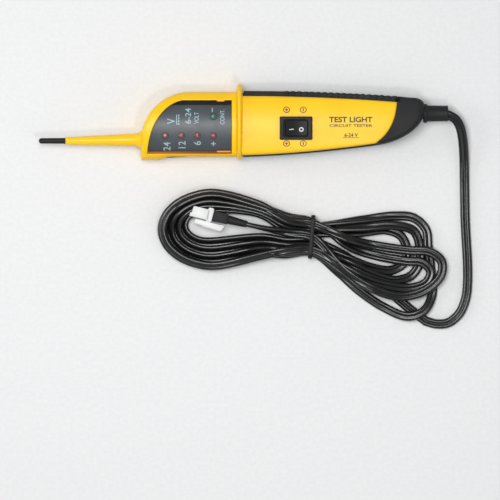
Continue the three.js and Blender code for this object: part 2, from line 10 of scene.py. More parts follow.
import bmesh
import bpy
from mathutils import Matrix, Vector
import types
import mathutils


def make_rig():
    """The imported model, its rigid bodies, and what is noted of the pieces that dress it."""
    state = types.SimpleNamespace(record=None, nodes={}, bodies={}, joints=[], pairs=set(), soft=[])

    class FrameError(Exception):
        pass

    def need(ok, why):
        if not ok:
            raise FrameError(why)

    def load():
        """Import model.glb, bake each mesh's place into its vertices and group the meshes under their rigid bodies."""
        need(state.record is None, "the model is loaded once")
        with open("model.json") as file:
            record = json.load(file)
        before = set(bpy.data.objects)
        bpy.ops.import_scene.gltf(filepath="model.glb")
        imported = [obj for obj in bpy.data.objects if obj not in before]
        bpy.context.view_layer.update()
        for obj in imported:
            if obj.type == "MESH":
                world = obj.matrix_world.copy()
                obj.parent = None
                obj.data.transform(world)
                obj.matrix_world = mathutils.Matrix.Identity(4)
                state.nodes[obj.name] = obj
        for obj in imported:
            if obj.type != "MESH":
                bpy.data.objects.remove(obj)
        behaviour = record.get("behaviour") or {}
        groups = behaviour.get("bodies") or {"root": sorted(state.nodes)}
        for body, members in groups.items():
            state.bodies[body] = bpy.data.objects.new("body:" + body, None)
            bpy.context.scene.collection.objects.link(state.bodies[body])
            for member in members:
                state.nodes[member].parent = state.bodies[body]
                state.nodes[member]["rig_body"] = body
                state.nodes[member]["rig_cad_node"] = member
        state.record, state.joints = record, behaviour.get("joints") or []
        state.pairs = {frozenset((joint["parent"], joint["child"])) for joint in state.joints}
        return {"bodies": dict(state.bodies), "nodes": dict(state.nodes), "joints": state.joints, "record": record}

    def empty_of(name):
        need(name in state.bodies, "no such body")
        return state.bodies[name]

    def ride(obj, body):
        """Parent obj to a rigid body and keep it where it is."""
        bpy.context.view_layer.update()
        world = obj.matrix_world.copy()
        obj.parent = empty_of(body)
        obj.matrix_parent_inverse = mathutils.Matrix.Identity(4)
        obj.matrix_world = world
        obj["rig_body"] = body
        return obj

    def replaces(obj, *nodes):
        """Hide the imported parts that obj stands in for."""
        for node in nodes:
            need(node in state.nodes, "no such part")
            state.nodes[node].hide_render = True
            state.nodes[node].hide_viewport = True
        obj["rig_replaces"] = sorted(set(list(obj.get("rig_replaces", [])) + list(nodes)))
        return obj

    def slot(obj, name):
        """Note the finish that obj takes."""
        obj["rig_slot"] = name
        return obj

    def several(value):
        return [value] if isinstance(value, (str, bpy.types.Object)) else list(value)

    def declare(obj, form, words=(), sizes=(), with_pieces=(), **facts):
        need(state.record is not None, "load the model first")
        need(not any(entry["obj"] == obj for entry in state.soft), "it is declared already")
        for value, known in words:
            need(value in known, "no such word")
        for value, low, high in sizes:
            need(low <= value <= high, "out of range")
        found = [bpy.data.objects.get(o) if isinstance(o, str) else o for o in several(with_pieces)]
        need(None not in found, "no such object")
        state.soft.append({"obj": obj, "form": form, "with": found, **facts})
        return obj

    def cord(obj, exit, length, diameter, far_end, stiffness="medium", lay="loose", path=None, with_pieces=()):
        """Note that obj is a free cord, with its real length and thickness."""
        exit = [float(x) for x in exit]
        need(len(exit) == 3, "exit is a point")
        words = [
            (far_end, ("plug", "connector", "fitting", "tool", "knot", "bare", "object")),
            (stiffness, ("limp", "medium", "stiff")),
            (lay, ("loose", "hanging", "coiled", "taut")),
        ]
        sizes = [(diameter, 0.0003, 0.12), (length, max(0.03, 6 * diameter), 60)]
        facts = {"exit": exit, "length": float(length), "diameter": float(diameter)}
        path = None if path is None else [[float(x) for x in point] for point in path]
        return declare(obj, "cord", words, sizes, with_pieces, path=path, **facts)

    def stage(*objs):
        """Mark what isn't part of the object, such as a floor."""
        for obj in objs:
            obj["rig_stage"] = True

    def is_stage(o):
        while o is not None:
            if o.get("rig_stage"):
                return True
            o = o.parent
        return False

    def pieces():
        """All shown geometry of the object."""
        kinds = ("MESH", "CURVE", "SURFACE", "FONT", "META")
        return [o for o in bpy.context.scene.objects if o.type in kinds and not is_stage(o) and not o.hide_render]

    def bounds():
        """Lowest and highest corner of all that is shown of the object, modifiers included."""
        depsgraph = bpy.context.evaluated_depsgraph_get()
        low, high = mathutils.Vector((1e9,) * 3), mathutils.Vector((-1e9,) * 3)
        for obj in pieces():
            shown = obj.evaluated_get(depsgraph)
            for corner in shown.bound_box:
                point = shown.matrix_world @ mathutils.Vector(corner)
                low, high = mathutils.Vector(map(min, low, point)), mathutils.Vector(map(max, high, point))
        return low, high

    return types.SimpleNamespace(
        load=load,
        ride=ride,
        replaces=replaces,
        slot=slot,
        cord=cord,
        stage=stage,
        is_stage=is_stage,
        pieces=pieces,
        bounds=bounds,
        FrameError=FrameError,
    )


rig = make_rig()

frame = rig.load()
CAD_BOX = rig.bounds()

MM = 0.001

# ---- driving sizes, in millimetres

SEAM = 13.15  # where the upper shell starts
HEAD_DOME = {"radius": 29, "y": -2, "z": -3}
HANDLE_DOME = {"radius": 60, "y": -2.5, "crown": 27, "fall": 2.5, "length": 100.1}
LENS_DEPTH = 1.2  # lens surface below the head's dome
PLATE_DEPTH = 4.2  # printed plate below the head's dome
WINDOW_TOP = 13.7
WINDOW_BOTTOM = -20.8
WINDOW_RIGHT = -7.5
WINDOW_CORNER = (-62, WINDOW_BOTTOM)
WINDOW_ARC = 86  # points round the window's arc, which are the outline's last
PROBE = {"y": -12.3, "z": 13.0}
BOOT = {"y": 5.4, "z": 13.0}
SWITCH = {"x": 33.9, "y": -4.5, "z": 26.2, "tilt": 10}
ROCKER_REACH = 6.9  # from the rocker's axle to each end of its face
LED = {"x": -50.4, "pitch": 10.35, "red_y": -8.9, "green_y": 3.2, "radius": 2.5, "top": 21.1}
CORD = {"width": 6.2, "thick": 3.1}
TIE = {"x": 44.3, "low_y": -88.6, "high_y": -60.2, "height": 11.4, "width": 2.6, "thick": 0.9}
PLUG = {"x": -21.6, "y": -60.3, "turn": -14, "lift": 6.5, "height": 8.6}
SLEEVE_END = 24.0  # where the cord enters the connector's sleeve, behind its collar


# ---- camera, floor and light


def camera_and_light():
    """A long lens from straight above, a pale floor, and four soft boxes round a dim studio."""
    width, lens, sensor = 325, 300, 36  # the width in view and the camera's own two, in millimetres
    data = bpy.data.cameras.new("camera")
    data.lens = lens
    data.sensor_width = sensor
    data.clip_end = 50
    camera = put("camera", data)
    middle_x, middle_y = 4.3, -82.9
    camera.location = (middle_x * MM, middle_y * MM, width * lens / sensor * MM)
    bpy.context.scene.camera = camera
    bpy.context.scene.view_settings.view_transform = "Standard"

    bpy.ops.mesh.primitive_plane_add(size=6, location=(0, 0, -0.0003))
    floor = bpy.context.object
    floor.name = "floor"
    floor.data.materials.append(floor_paper())
    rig.stage(floor)

    world = bpy.data.worlds.new("studio")
    world.use_nodes = True
    sky = world.node_tree.nodes["Background"].inputs
    sky["Color"].default_value = (0.95, 0.97, 1, 1)
    sky["Strength"].default_value = 0.3
    bpy.context.scene.world = world
    soft_box("key", (-0.12, 0.05, 1.1), 0.4, 7.3)
    soft_box("glint", (0.12, -0.3, 0.9), 0.1, 1.3)
    soft_box("fill", (0.8, -0.5, 0.7), 0.6, 1.2)
    soft_box("rim", (-0.8, 0.1, 0.5), 0.5, 2)


def soft_box(name, place, size, power):
    """A square lamp at a place in metres, turned to the middle of the tester."""
    data = bpy.data.lights.new(name, "AREA")
    data.shape = "SQUARE"
    data.size = size
    data.energy = power
    light = put(name, data)
    light.location = place
    light.rotation_euler = (Vector((0, -0.05, 0)) - Vector(place)).to_track_quat("-Z", "Y").to_euler()


def put(name, data):
    made = bpy.data.objects.new(name, data)
    bpy.context.collection.objects.link(made)
    return made


# ---- materials


class Finish:
    """A procedural material on one Principled shader. Noise is in object space, in cycles per metre."""

    def __init__(self, name):
        self.material = bpy.data.materials.new(name)
        self.material.use_nodes = True
        self.nodes = self.material.node_tree.nodes
        self.links = self.material.node_tree.links
        self.shader = self.nodes["Principled BSDF"]
        self.place = self.nodes.new("ShaderNodeTexCoord").outputs["Object"]

    def feed(self, node, inputs):
        """Sets each input of a node to its value, or links it where the value is an output."""
        for name, value in inputs.items():
            socket = node.inputs[name.replace("_", " ")]
            if isinstance(value, bpy.types.NodeSocket):
                self.links.new(value, socket)
            else:
                socket.default_value = value
        return node

    def node(self, kind, **inputs):
        return self.feed(self.nodes.new(f"ShaderNode{kind}"), inputs)

    def set(self, **inputs):
        self.feed(self.shader, inputs)
        return self

    def noise(self, scale, detail=3, stretch=(1, 1, 1)):
        place = self.node("Mapping", Vector=self.place, Scale=stretch).outputs["Vector"]
        return self.node("TexNoise", Vector=place, Scale=scale, Detail=detail).outputs["Fac"]

    def colours(self, value, low, high):
        """The base colour runs from one (position, linear colour) to the other as the value grows."""
        ramp = self.node("ValToRGB", Fac=value)
        for stop, (position, colour) in zip(ramp.color_ramp.elements, (low, high)):
            stop.position = position
            stop.color = (*colour, 1)
        return self.set(Base_Color=ramp.outputs["Color"])

    def roughness(self, value, low, high):
        span = self.node("MapRange", Value=value, From_Min=0.3, From_Max=0.7, To_Min=low, To_Max=high)
        return self.set(Roughness=span.outputs["Result"])

    def bump(self, value, height_mm):
        bump = self.node("Bump", Height=value, Distance=height_mm * MM, Strength=1)
        return self.set(Normal=bump.outputs["Normal"])


def floor_paper():
    """Pale matte paper for the floor."""
    paper = Finish("floor_paper")
    grain = paper.noise(400)
    paper.colours(grain, (0.3, (0.74, 0.74, 0.74)), (0.7, (0.78, 0.78, 0.78)))
    return paper.roughness(grain, 0.75, 0.9).material


def moulded(name, dark, light, rough, grain_mm=0.012, grain=2600, **settings):
    """Injection-moulded plastic: slow colour drift, a fine spark-eroded grain and slightly uneven gloss."""
    skin = Finish(name)
    slow = skin.noise(45, 2)
    fine = skin.noise(grain, 2)
    skin.colours(slow, (0.3, dark), (0.7, light))
    skin.roughness(skin.noise(120, 4), rough - 0.05, rough + 0.05)
    skin.bump(fine, grain_mm)
    return skin.set(**settings).material


def metal(name, dark, light, rough, stretch=(1, 1, 1)):
    """Bare metal with fine lines, drawn out where the noise is stretched."""
    skin = Finish(name)
    lines = skin.noise(900, 4, stretch)
    skin.colours(lines, (0.3, dark), (0.7, light))
    skin.roughness(lines, rough - 0.08, rough + 0.1)
    skin.bump(lines, 0.01)
    return skin.set(Metallic=1.0).material


PLASTICS = {
    # name: darker and lighter colour, roughness, grain height in millimetres, grain in cycles per metre
    "yellow_plastic": ((0.93, 0.55, 0.006), (0.97, 0.59, 0.009), 0.38, 0.006),
    "black_grip": ((0.014, 0.014, 0.015), (0.02, 0.02, 0.021), 0.6, 0.03, 2200),
    "black_plastic": ((0.011, 0.011, 0.012), (0.016, 0.016, 0.017), 0.5),
    "cord_pvc": ((0.006, 0.006, 0.0065), (0.009, 0.009, 0.0095), 0.25, 0.002, 1500),
    "wire_red": ((0.42, 0.012, 0.014), (0.5, 0.018, 0.02), 0.4),
    "white_nylon": ((0.68, 0.68, 0.67), (0.73, 0.73, 0.72), 0.42, 0.006),
    "display_mask": ((0.12, 0.142, 0.16), (0.135, 0.158, 0.178), 0.4, 0.004),
    "circuit_board": ((0.008, 0.09, 0.03), (0.015, 0.13, 0.045), 0.4),
    "chip_black": ((0.012, 0.012, 0.012), (0.02, 0.02, 0.02), 0.6, 0.02),
    "resistor_tan": ((0.42, 0.27, 0.13), (0.5, 0.34, 0.18), 0.4),
    "print_dark": ((0.025, 0.022, 0.012), (0.035, 0.03, 0.016), 0.5),
    "print_brown": ((0.13, 0.03, 0.01), (0.17, 0.04, 0.012), 0.5),
    "print_white": ((0.72, 0.72, 0.72), (0.8, 0.8, 0.8), 0.5),
    "print_cyan": ((0.62, 0.88, 0.96), (0.7, 0.94, 1.0), 0.5),
    # a dark band of painted shade along the window's top, where the lens's top edge dips into shade
    "display_border": ((0.016, 0.026, 0.034), (0.024, 0.036, 0.046), 0.3, 0.004),
    # the yellow plastic darkened to orange as painted shade, for the low tab deep in its recess
    "amber_tab": ((0.72, 0.27, 0.012), (0.8, 0.31, 0.016), 0.45),
    "lamp_cup_red": ((0.34, 0.13, 0.14), (0.44, 0.2, 0.21), 0.6),
    "lamp_cup_green": ((0.08, 0.2, 0.14), (0.12, 0.26, 0.19), 0.6),
}
SHADER_SETTINGS = {
    "yellow_plastic": {
        "Specular_IOR_Level": 0.32,
        "Coat_Weight": 0.03,
        "Coat_Roughness": 0.25,
        "Subsurface_Weight": 0.1,
        "Subsurface_Radius": (1.0, 0.4, 0.05),
        "Subsurface_Scale": 0.0015,
    },
    "black_grip": {"Specular_IOR_Level": 0.22},
    "black_plastic": {"Specular_IOR_Level": 0.2},
    "amber_tab": {"Specular_IOR_Level": 0.25},
    "white_nylon": {"Subsurface_Weight": 0.08, "Subsurface_Scale": 0.001},
}


def make_materials():
    made = {name: moulded(name, *look, **SHADER_SETTINGS.get(name, {})) for name, look in PLASTICS.items()}
    made["steel"] = metal("steel", (0.45, 0.46, 0.47), (0.62, 0.63, 0.64), 0.3, (0.1, 1, 1))
    made["brass"] = metal("brass", (0.55, 0.36, 0.1), (0.7, 0.5, 0.18), 0.3)
    made["orange_seal"] = shade_strip_finish()
    made["smoked_window"] = smoked()
    made["red_lens"] = lamp_lens("red_lens", (0.2, 0.05, 0.06), (0.29, 0.085, 0.095))
    made["green_lens"] = lamp_lens("green_lens", (0.025, 0.11, 0.08), (0.045, 0.16, 0.12))
    return made


def smoked():
    """The window's clear dark plastic."""
    skin = Finish("smoked_window")
    slow = skin.noise(60, 3)
    skin.colours(slow, (0.3, (0.02, 0.025, 0.03)), (0.7, (0.026, 0.031, 0.037)))
    skin.roughness(slow, 0.4, 0.46)
    return skin.set(Alpha=0.16, Coat_Weight=0.2, Coat_Roughness=0.3, IOR=1.49).material


def shade_strip_finish():
    """A strip of painted shade under the window, standing for the frame's shaded inner wall: orange at the nose and
    darker red towards the guard.
    """
    skin = Finish("orange_seal")
    x = skin.node("SeparateXYZ", Vector=skin.place).outputs["X"]
    span = skin.node("MapRange", Value=x, From_Min=-62 * MM, From_Max=-8 * MM)
    # painted shade: the colour runs from orange to a darker red along x, towards the guard
    skin.colours(span.outputs["Result"], (0.1, (0.42, 0.12, 0.012)), (0.9, (0.22, 0.026, 0.008)))
    skin.roughness(skin.noise(200), 0.55, 0.65)
    return skin.set(Specular_IOR_Level=0.2).material


def lamp_lens(name, dark, light):
    """The tinted, glossy plastic of a lamp."""
    skin = Finish(name)
    inside = skin.noise(700, 2)
    skin.colours(inside, (0.35, dark), (0.65, light))
    skin.roughness(inside, 0.12, 0.25)
    return skin.set(Coat_Weight=0.5, Coat_Roughness=0.1).material


# ---- lines and outlines


def line(a, b, n):
    """n points along a straight line, without its end point."""
    return [tuple(p + (q - p) * k / n for p, q in zip(a, b)) for k in range(n)]


def bezier(points, n):
    """n points along a quadratic or cubic curve, without its end point."""
    return [curve_at(points, k / n) for k in range(n)]


def curve_at(points, t):
    row = [Vector(p) for p in points]
    while len(row) > 1:
        row = [a.lerp(b, t) for a, b in zip(row, row[1:])]
    return tuple(row[0])


def turns(sides):
    """Angles once round a circle."""
    return [2 * pi * k / sides for k in range(sides)]


def smooth(low, high, x):
    """Rises from 0 to 1 between low and high, level at both ends."""
    t = min(1, max(0, (x - low) / (high - low)))
    return t * t * (3 - 2 * t)


def rounded(depth, radius):
    """How far a surface has dropped at a distance inside an edge of that radius."""
    if depth >= radius:
        return 0
    return radius - sqrt(max(0, radius**2 - (radius - depth) ** 2))


def head_dome(y, below=0):
    """Height of the head's domed top at y, or of a surface below it."""
    radius = HEAD_DOME["radius"] - below
    return HEAD_DOME["z"] + sqrt(max(0, radius**2 - (y - HEAD_DOME["y"]) ** 2))


def handle_dome(x, y):
    """Height of the handle's crowned top, which falls slowly to the rear."""
    d = HANDLE_DOME
    crown = d["crown"] - d["fall"] * x / d["length"]
    return crown - (d["radius"] - sqrt(d["radius"] ** 2 - (y - d["y"]) ** 2))


SIDE_POINTS = (12, 8, 30, 30, 24)  # along the head's straight sides, from the nose round to the arc


def sides(corners):
    return [p for a, b, n in zip(corners, corners[1:], SIDE_POINTS) for p in line(a, b, n)]


def head_outline():
    """The head in plan: its nose end, low side, guard side and high side, then its arc."""
    return [
        *sides([(-66.2, -24.2), (-53.6, -24.2), (-48.6, -22.3), (-3, -22.3), (-3, 19.3), (-35, 19.3)]),
        *bezier([(-35, 19.3), (-47.5, 19.3), (-61.5, 10), (-65.3, -6.5)], 60),
        *line((-65.3, -6.5), (-66.2, -24.2), WINDOW_ARC - 60),
    ]


def window_outline():
    """The window's edge, point for point beside head_outline."""
    low, high, right = WINDOW_BOTTOM, WINDOW_TOP, WINDOW_RIGHT
    return [
        *sides([WINDOW_CORNER, (-53.6, low), (-48.6, low), (right, low), (right, high), (-38.8, high)]),
        *bezier([(-38.8, high), (-49, 12.5), (-60.5, 0.5), WINDOW_CORNER], WINDOW_ARC),
    ]


# The handle cover's three long edges in plan, each a quadratic curve.
COVER_BOTTOM = [(-1, -21.7), (38, -20.8), (85.3, -14.1)]
COVER_REAR = [(85.3, -14.1), (98.4, -5.9), (99.3, 12.5)]
COVER_TOP = [(-1, 16.4), (50, 16.3), (99.3, 12.5)]


# ---- meshes


def piece(name, shape, finish, body="tester", replaces=(), sharp=40):
    """A closed piece from (points in millimetres, faces). Edges over the sharp angle stay sharp."""
    verts, faces = shape
    mesh = bpy.data.meshes.new(name)
    mesh.from_pydata([(x * MM, y * MM, z * MM) for x, y, z in verts], [], faces)
    made = bmesh.new()
    made.from_mesh(mesh)
    bmesh.ops.remove_doubles(made, verts=made.verts, dist=1e-6)
    bmesh.ops.recalc_face_normals(made, faces=made.faces)
    made.to_mesh(mesh)
    made.free()
    return finished(name, mesh, finish, body, replaces, sharp)


def finished(name, mesh, finish, body="tester", replaces=(), sharp=40):
    """Puts a mesh in the scene with its shading and material, on the body it rides on."""
    shade(mesh, sharp)
    mesh.materials.clear()
    mesh.materials.append(MATERIALS[finish])
    made = put(name, mesh)
    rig.ride(made, body)
    if replaces:
        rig.replaces(made, *replaces)
    if finish in SLOTS:
        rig.slot(made, finish)
    return made


def shade(mesh, sharp):
    mesh.polygons.foreach_set("use_smooth", [True] * len(mesh.polygons))
    mesh.set_sharp_from_angle(angle=radians(sharp))


def loft(rings, closed=True, capped=True):
    """Faces between rings that all have the same number of points."""
    n = len(rings[0])
    verts = [p for ring in rings for p in ring]
    faces = []
    for r in range(len(rings) - 1):
        for k in range(n if closed else n - 1):
            a, b = r * n + k, r * n + (k + 1) % n
            faces.append((a, b, b + n, a + n))
    if capped:
        faces.append(tuple(range(n)))
        faces.append(tuple(range(len(verts) - n, len(verts))))
    return verts, faces


def two_skins(outside, inside, foot=None):
    """A closed shell: two grids of points joined at their edges, or by a skirt down to the foot."""
    n, rows = len(outside[0]), len(outside)
    verts, faces = loft(outside, closed=False, capped=False)
    more, more_faces = loft(inside, closed=False, capped=False)
    size = len(verts)
    verts += more
    faces += [tuple(size + i for i in face) for face in more_faces]
    edge = [r * n for r in range(rows)]
    edge += [(rows - 1) * n + k for k in range(1, n)]
    edge += [r * n + n - 1 for r in range(rows - 2, -1, -1)]
    edge += list(range(n - 2, 0, -1))
    inner_edge = [size + i for i in edge]
    loops = [edge, inner_edge]
    if foot is not None:
        for source in (edge, inner_edge):
            start = len(verts)
            verts += [(verts[i][0], verts[i][1], foot) for i in source]
            loops.insert(-1, [start + k for k in range(len(edge))])
    for a, b in zip(loops, loops[1:]):
        faces += [(a[k], a[k - 1], b[k - 1], b[k]) for k in range(len(edge))]
    return verts, faces


def lathe(profile, y, z, sides=64, groove=0.0):
    """Rings of [x, radius] turned about a line along X, with a seam groove at both sides."""
    rings = []
    for x, radius in profile:
        ring = []
        for k, turn in enumerate(turns(sides)):
            r = radius - groove if k % (sides // 2) == 0 else radius
            ring.append((x, y + r * cos(turn), z + r * sin(turn)))
        rings.append(ring)
    return loft(rings)


def block(xs, ys, zs):
    """The corners and faces of a box."""
    verts = [(x, y, z) for x in xs for y in ys for z in zs]
    return verts, [(0, 1, 3, 2), (4, 6, 7, 5), (0, 4, 5, 1), (2, 3, 7, 6), (0, 2, 6, 4), (1, 5, 7, 3)]


def circle(x, y, radius, z, sides):
    return [(x + radius * cos(t), y + radius * sin(t), z) for t in turns(sides)]


def screw_well(x, y):
    """A cutter for the well of a case screw in the under side."""
    return loft([circle(x, y, 2.9, z, 36) for z in (-2, 2.2)])


def cut(made, cutters, sharp=40):
    """Takes each cutter's shape out of a piece."""
    for n, shape in enumerate(cutters):
        tool = piece(f"{made.name}_cutter_{n}", shape, "steel")
        boolean = made.modifiers.new("cut", "BOOLEAN")
        boolean.operation = "DIFFERENCE"
        boolean.solver = "EXACT"
        boolean.object = tool
        whole = made.evaluated_get(bpy.context.evaluated_depsgraph_get())
        mesh = bpy.data.meshes.new_from_object(whole)
        made.modifiers.clear()
        made.data = mesh
        bpy.data.objects.remove(tool)
    shade(made.data, sharp)
    return made


def bevelled(made, width):
    """Rounds every sharp edge, and keeps the flat faces flat."""
    bevel = made.modifiers.new("round", "BEVEL")
    bevel.width = width * MM
    bevel.segments = 3
    bevel.limit_method = "ANGLE"
    bevel.angle_limit = radians(30)
    bevel.harden_normals = True
    return made


# ---- yellow housing


def band_ring(outer, inner, t, drop_outer, drop_inner):
    """One ring across the frame round the window, t of the way in from the outline."""
    ring = []
    for a, b in zip(outer, inner):
        p = Vector(a).lerp(Vector(b), t)
        width = (Vector(a) - Vector(b)).length
        z = max(head_dome(p.y), SEAM + 2.2)
        z -= rounded(t * width, drop_outer) + rounded((1 - t) * width, drop_inner)
        ring.append((p.x, p.y, z))
    return ring


def inset_ring(outline, inset, z):
    """The outline moved towards its own middle line by about inset, at height z."""
    n = len(outline)
    ring = []
    for k, (x, y) in enumerate(outline):
        along = Vector(outline[(k + 1) % n]) - Vector(outline[k - 1])
        inwards = Vector((-along.y, along.x)).normalized()
        ring.append((x + inwards.x * inset, y + inwards.y * inset, z))
    return ring


def upper_head():
    """The yellow frame round the window, from the seam up, over and down to the lens."""
    outer, inner = head_outline(), window_outline()
    radius, lip = 2.6, 0.7
    rings = [inset_ring(outer, 0.5, SEAM), inset_ring(outer, 0.22, SEAM), inset_ring(outer, 0, SEAM + 0.2)]
    across = [0, 0.02, 0.06, 0.12, 0.2, 0.3, 0.42, 0.55, 0.68, 0.8, 0.88, 0.94, 0.98, 1]
    rings += [band_ring(outer, inner, t, radius, lip) for t in across]
    for depth, ledge in ((1.2, 0), (2.6, 0.35), (4.2, 1.9)):
        ring = []
        for x, y in inner:
            z = head_dome(max(y, WINDOW_BOTTOM + 0.8), depth + 0.2)
            ring.append((x, y + ledge * smooth(WINDOW_BOTTOM + 3.3, WINDOW_BOTTOM, y), z))
        rings.append(ring)
    rings.append(rings[0])
    return piece("head_frame", loft(rings, capped=False), "yellow_plastic", sharp=50)


def lower_head():
    """The lower shell of the head: a wall with a rounded foot and a closed back."""
    outer = head_outline()
    foot = 1.2
    rings = []
    for step in (0, 0.3, 0.6, 0.85, 1):
        turn = step * pi / 2
        rings.append(inset_ring(outer, foot * (1 - sin(turn)), foot * (1 - cos(turn))))
    for inset, z in ((0, SEAM - 0.5), (0.22, SEAM - 0.3), (2, SEAM - 0.3), (2, 2)):
        rings.append(inset_ring(outer, inset, z))
    return piece("head_back", loft(rings), "yellow_plastic", replaces=["lower_housing"], sharp=50)


def nose():
    """The cone that carries the probe, swept a little towards the tester's middle line."""
    profile = [
        (-114.9, 0.6), (-114.9, 1.9), (-114.75, 2.15), (-114.4, 2.35), (-113.9, 2.43),
        (-105, 2.75), (-95, 3.08), (-85, 3.42), (-76, 3.74), (-71.5, 3.92), (-69.6, 4.08),
        (-68.4, 4.35), (-67.4, 4.8), (-66.5, 5.45), (-65.6, 6.4), (-64.6, 7.2), (-63.5, 7.6),
    ]
    verts, faces = lathe(profile, PROBE["y"], PROBE["z"], groove=0.1)
    swept = [(x, y + 0.7 * smooth(-114, -68, x), z) for x, y, z in verts]
    return piece("nose_cone", (swept, faces), "yellow_plastic", sharp=50)


def guard():
    """The finger guard: a full oval flange with a rounded rim, flat where it rests."""
    half_width, half_height, middle, thick = 24.8, 18, -2.45, 4.3
    fullness = 0.8  # 1 is a true ellipse; less is squarer
    rim = [(-0.5, 8), (-0.49, 5.5), (-0.44, 3.4), (-0.36, 1.8), (-0.26, 0.8), (-0.14, 0.2), (0, 0)]
    rim += [(-x, inset) for x, inset in reversed(rim[:-1])]
    rings = []
    for x, inset in rim:
        ring = []
        for turn in turns(128):
            across, up = (copysign(abs(f(turn)) ** fullness, f(turn)) for f in (cos, sin))
            z = PROBE["z"] + (half_height - inset) * up
            ring.append((middle + x * thick, (half_width - inset) * across, max(0, z)))
        rings.append(ring)
    made = piece("finger_guard", loft(rings), "yellow_plastic", sharp=50)
    return cut(made, [screw_well(-4, 12), screw_well(-4, -13)], 50)


def cover_point(u, v):
    """A point of the handle cover from front to rear (u) and from its low to its high edge (v)."""
    low, high = (Vector(p) for p in (curve_at(COVER_BOTTOM, u), curve_at(COVER_TOP, u)))
    rear = Vector(curve_at(COVER_REAR, v))
    corner = Vector(COVER_BOTTOM[2]).lerp(Vector(COVER_TOP[2]), v)
    return low.lerp(high, v) + (rear - corner) * u**4


def inside_of(t, margin):
    return margin + t * (1 - 2 * margin)


def handle_cover():
    """The yellow top of the handle, crowned across, with rounded edges and a skirt."""
    radius, width, length, wall = 1.7, 33.0, 98.0, 2.0
    fine = [0, 0.1, 0.35, 0.75, 1.2, radius]
    vs = [d / width for d in fine] + [k / 24 for k in range(2, 23)] + [1 - d / width for d in reversed(fine)]
    us = [k / 60 for k in range(58)] + [1 - d / length for d in reversed(fine)]
    outside, inside = [], []
    for u in us:
        row, inner_row = [], []
        for v in vs:
            p = cover_point(u, v)
            edge = min(v * width, (1 - v) * width, (1 - u) * length)
            row.append((p.x, p.y, handle_dome(p.x, p.y) - rounded(edge, radius)))
            q = cover_point(inside_of(u, wall / length), inside_of(v, wall / width))
            inner_row.append((q.x, q.y, handle_dome(q.x, q.y) - wall))
        outside.append(row)
        inside.append(inner_row)
    shell = two_skins(outside, inside, foot=SEAM + 0.2)
    made = piece("handle_cover", shell, "yellow_plastic", replaces=["upper_housing"], sharp=50)
    hole = (SWITCH["x"] - 9.6, SWITCH["x"] + 9.6), (SWITCH["y"] - 6.5, SWITCH["y"] + 6.5), (16, 40)
    return cut(made, [block(*hole)], 50)


# ---- black handle shell


def grip_rings():
    """Matching points on the cover's edge and on the grip's outline: [cover, outline, part] each."""
    low = zip(bezier(COVER_BOTTOM, 60), bezier([(0, -22.5), (38, -21.6), (87, -14.9)], 60))
    rear_out = [
        *bezier([(87, -14.9), (101, -13), (113.5, -5.5), (116.6, 4)], 40),
        *line((116.6, 4), (117, 9.5), 8),
        *bezier([(117, 9.5), (117, 15.2), (110, 15.5)], 16),
    ]
    rear = zip(bezier(COVER_REAR, 64), rear_out)
    top_in = [curve_at(COVER_TOP, 1 - k / 280) for k in range(280)]
    top = zip(top_in, bezier([(110, 15.5), (50, 20), (0, 19.8)], 280))
    return [(*pair, part) for part, side in (("low", low), ("rear", rear), ("top", top)) for pair in side]


def grip_edge(part, p, outer):
    """Height of the grip's top at p, and the radius of its outer edge there."""
    low_rim, high_rim = 14.6, 17.5
    hood = handle_dome(p.x, p.y) - 0.35
    if part == "low":
        return low_rim, 0.6
    if part == "rear":
        return low_rim + (hood - low_rim) * smooth(85.5, 90.5, outer.x), 0.6 + 3.9 * smooth(86, 92, outer.x)
    return high_rim + (hood - high_rim) * smooth(98.4, 100.4, p.x), 1.2 + 3.3 * smooth(100.3, 104, p.x)


def rib(x):
    """Height of the grip's cross ribs at x, 0 to 1."""
    first, last, pitch = 25, 99.5, 4.1
    if not first < x < last:
        return 0
    phase = ((x - first - 1) / pitch) % 1
    return smooth(0.12, 0.3, phase) * (1 - smooth(0.7, 0.88, phase))


def grip_shell():
    """The black shell: a rounded rim round the cover, ribs on its high side, a hood and a foot."""
    pairs = grip_rings()
    hidden = [(Vector(c).x * 0.98, Vector(c).y * 0.88) for c, _, _ in pairs]
    rings = [[(*p, 2.5) for p in hidden], [(*p, 13) for p in hidden]]
    for t in (-0.02, 0, 0.08, 0.2, 0.34, 0.48, 0.6, 0.7, 0.78, 0.85, 0.91, 0.96, 0.99, 1):
        ring = []
        for cover, outline, part in pairs:
            outer = Vector(outline)
            p = Vector(cover).lerp(outer, t)
            top, radius = grip_edge(part, p, outer)
            z = top - rounded((outer - p).length, radius)
            bulge = rib(p.x) * smooth(0.25, 0.5, t) if part == "top" else 0
            ring.append((p.x, p.y + bulge * 0.3 * t, z + bulge * 0.45))
        rings.append(ring)
    edge = rings[-1]
    foot, steps = 4, 8
    for step in range(1, steps + 1):
        rings.append([(x, y, z + (foot - z) * step / steps) for x, y, z in edge])
    outline = [pair[1] for pair in pairs]
    for step in (0.2, 0.4, 0.6, 0.8, 1):
        turn = step * pi / 2
        base = inset_ring(outline, foot * (1 - cos(turn)), foot * (1 - sin(turn)))
        fade = 1 - step
        rings.append([(x, y + (e[1] - o[1]) * fade, z) for (x, y, z), e, o in zip(base, edge, outline)])
    made = piece("grip_shell", loft(rings), "black_grip", replaces=["handle_shell"])
    return cut(made, [screw_well(56, -2), screw_well(84, -1)])


def cable_boot():
    """The boot: a flange at the shell, a plain sleeve and a collar where the lead leaves."""
    profile = [
        (108, 3.4), (116.4, 3.6), (116.4, 5.5), (116.7, 6.0), (117.2, 6.15), (118.1, 6.15), (118.6, 5.95),
        (118.9, 5.35), (119.6, 5.2), (124, 5.12), (130.6, 5.0), (131.0, 5.05), (131.3, 5.2), (131.9, 5.2),
        (132.2, 5.0), (132.3, 4.7), (132.3, 3.5), (131.4, 3.2),
    ]
    turned = lathe(profile, BOOT["y"], BOOT["z"], sides=56)
    return piece("boot", turned, "black_grip", replaces=["cable_boot"])


# ---- display


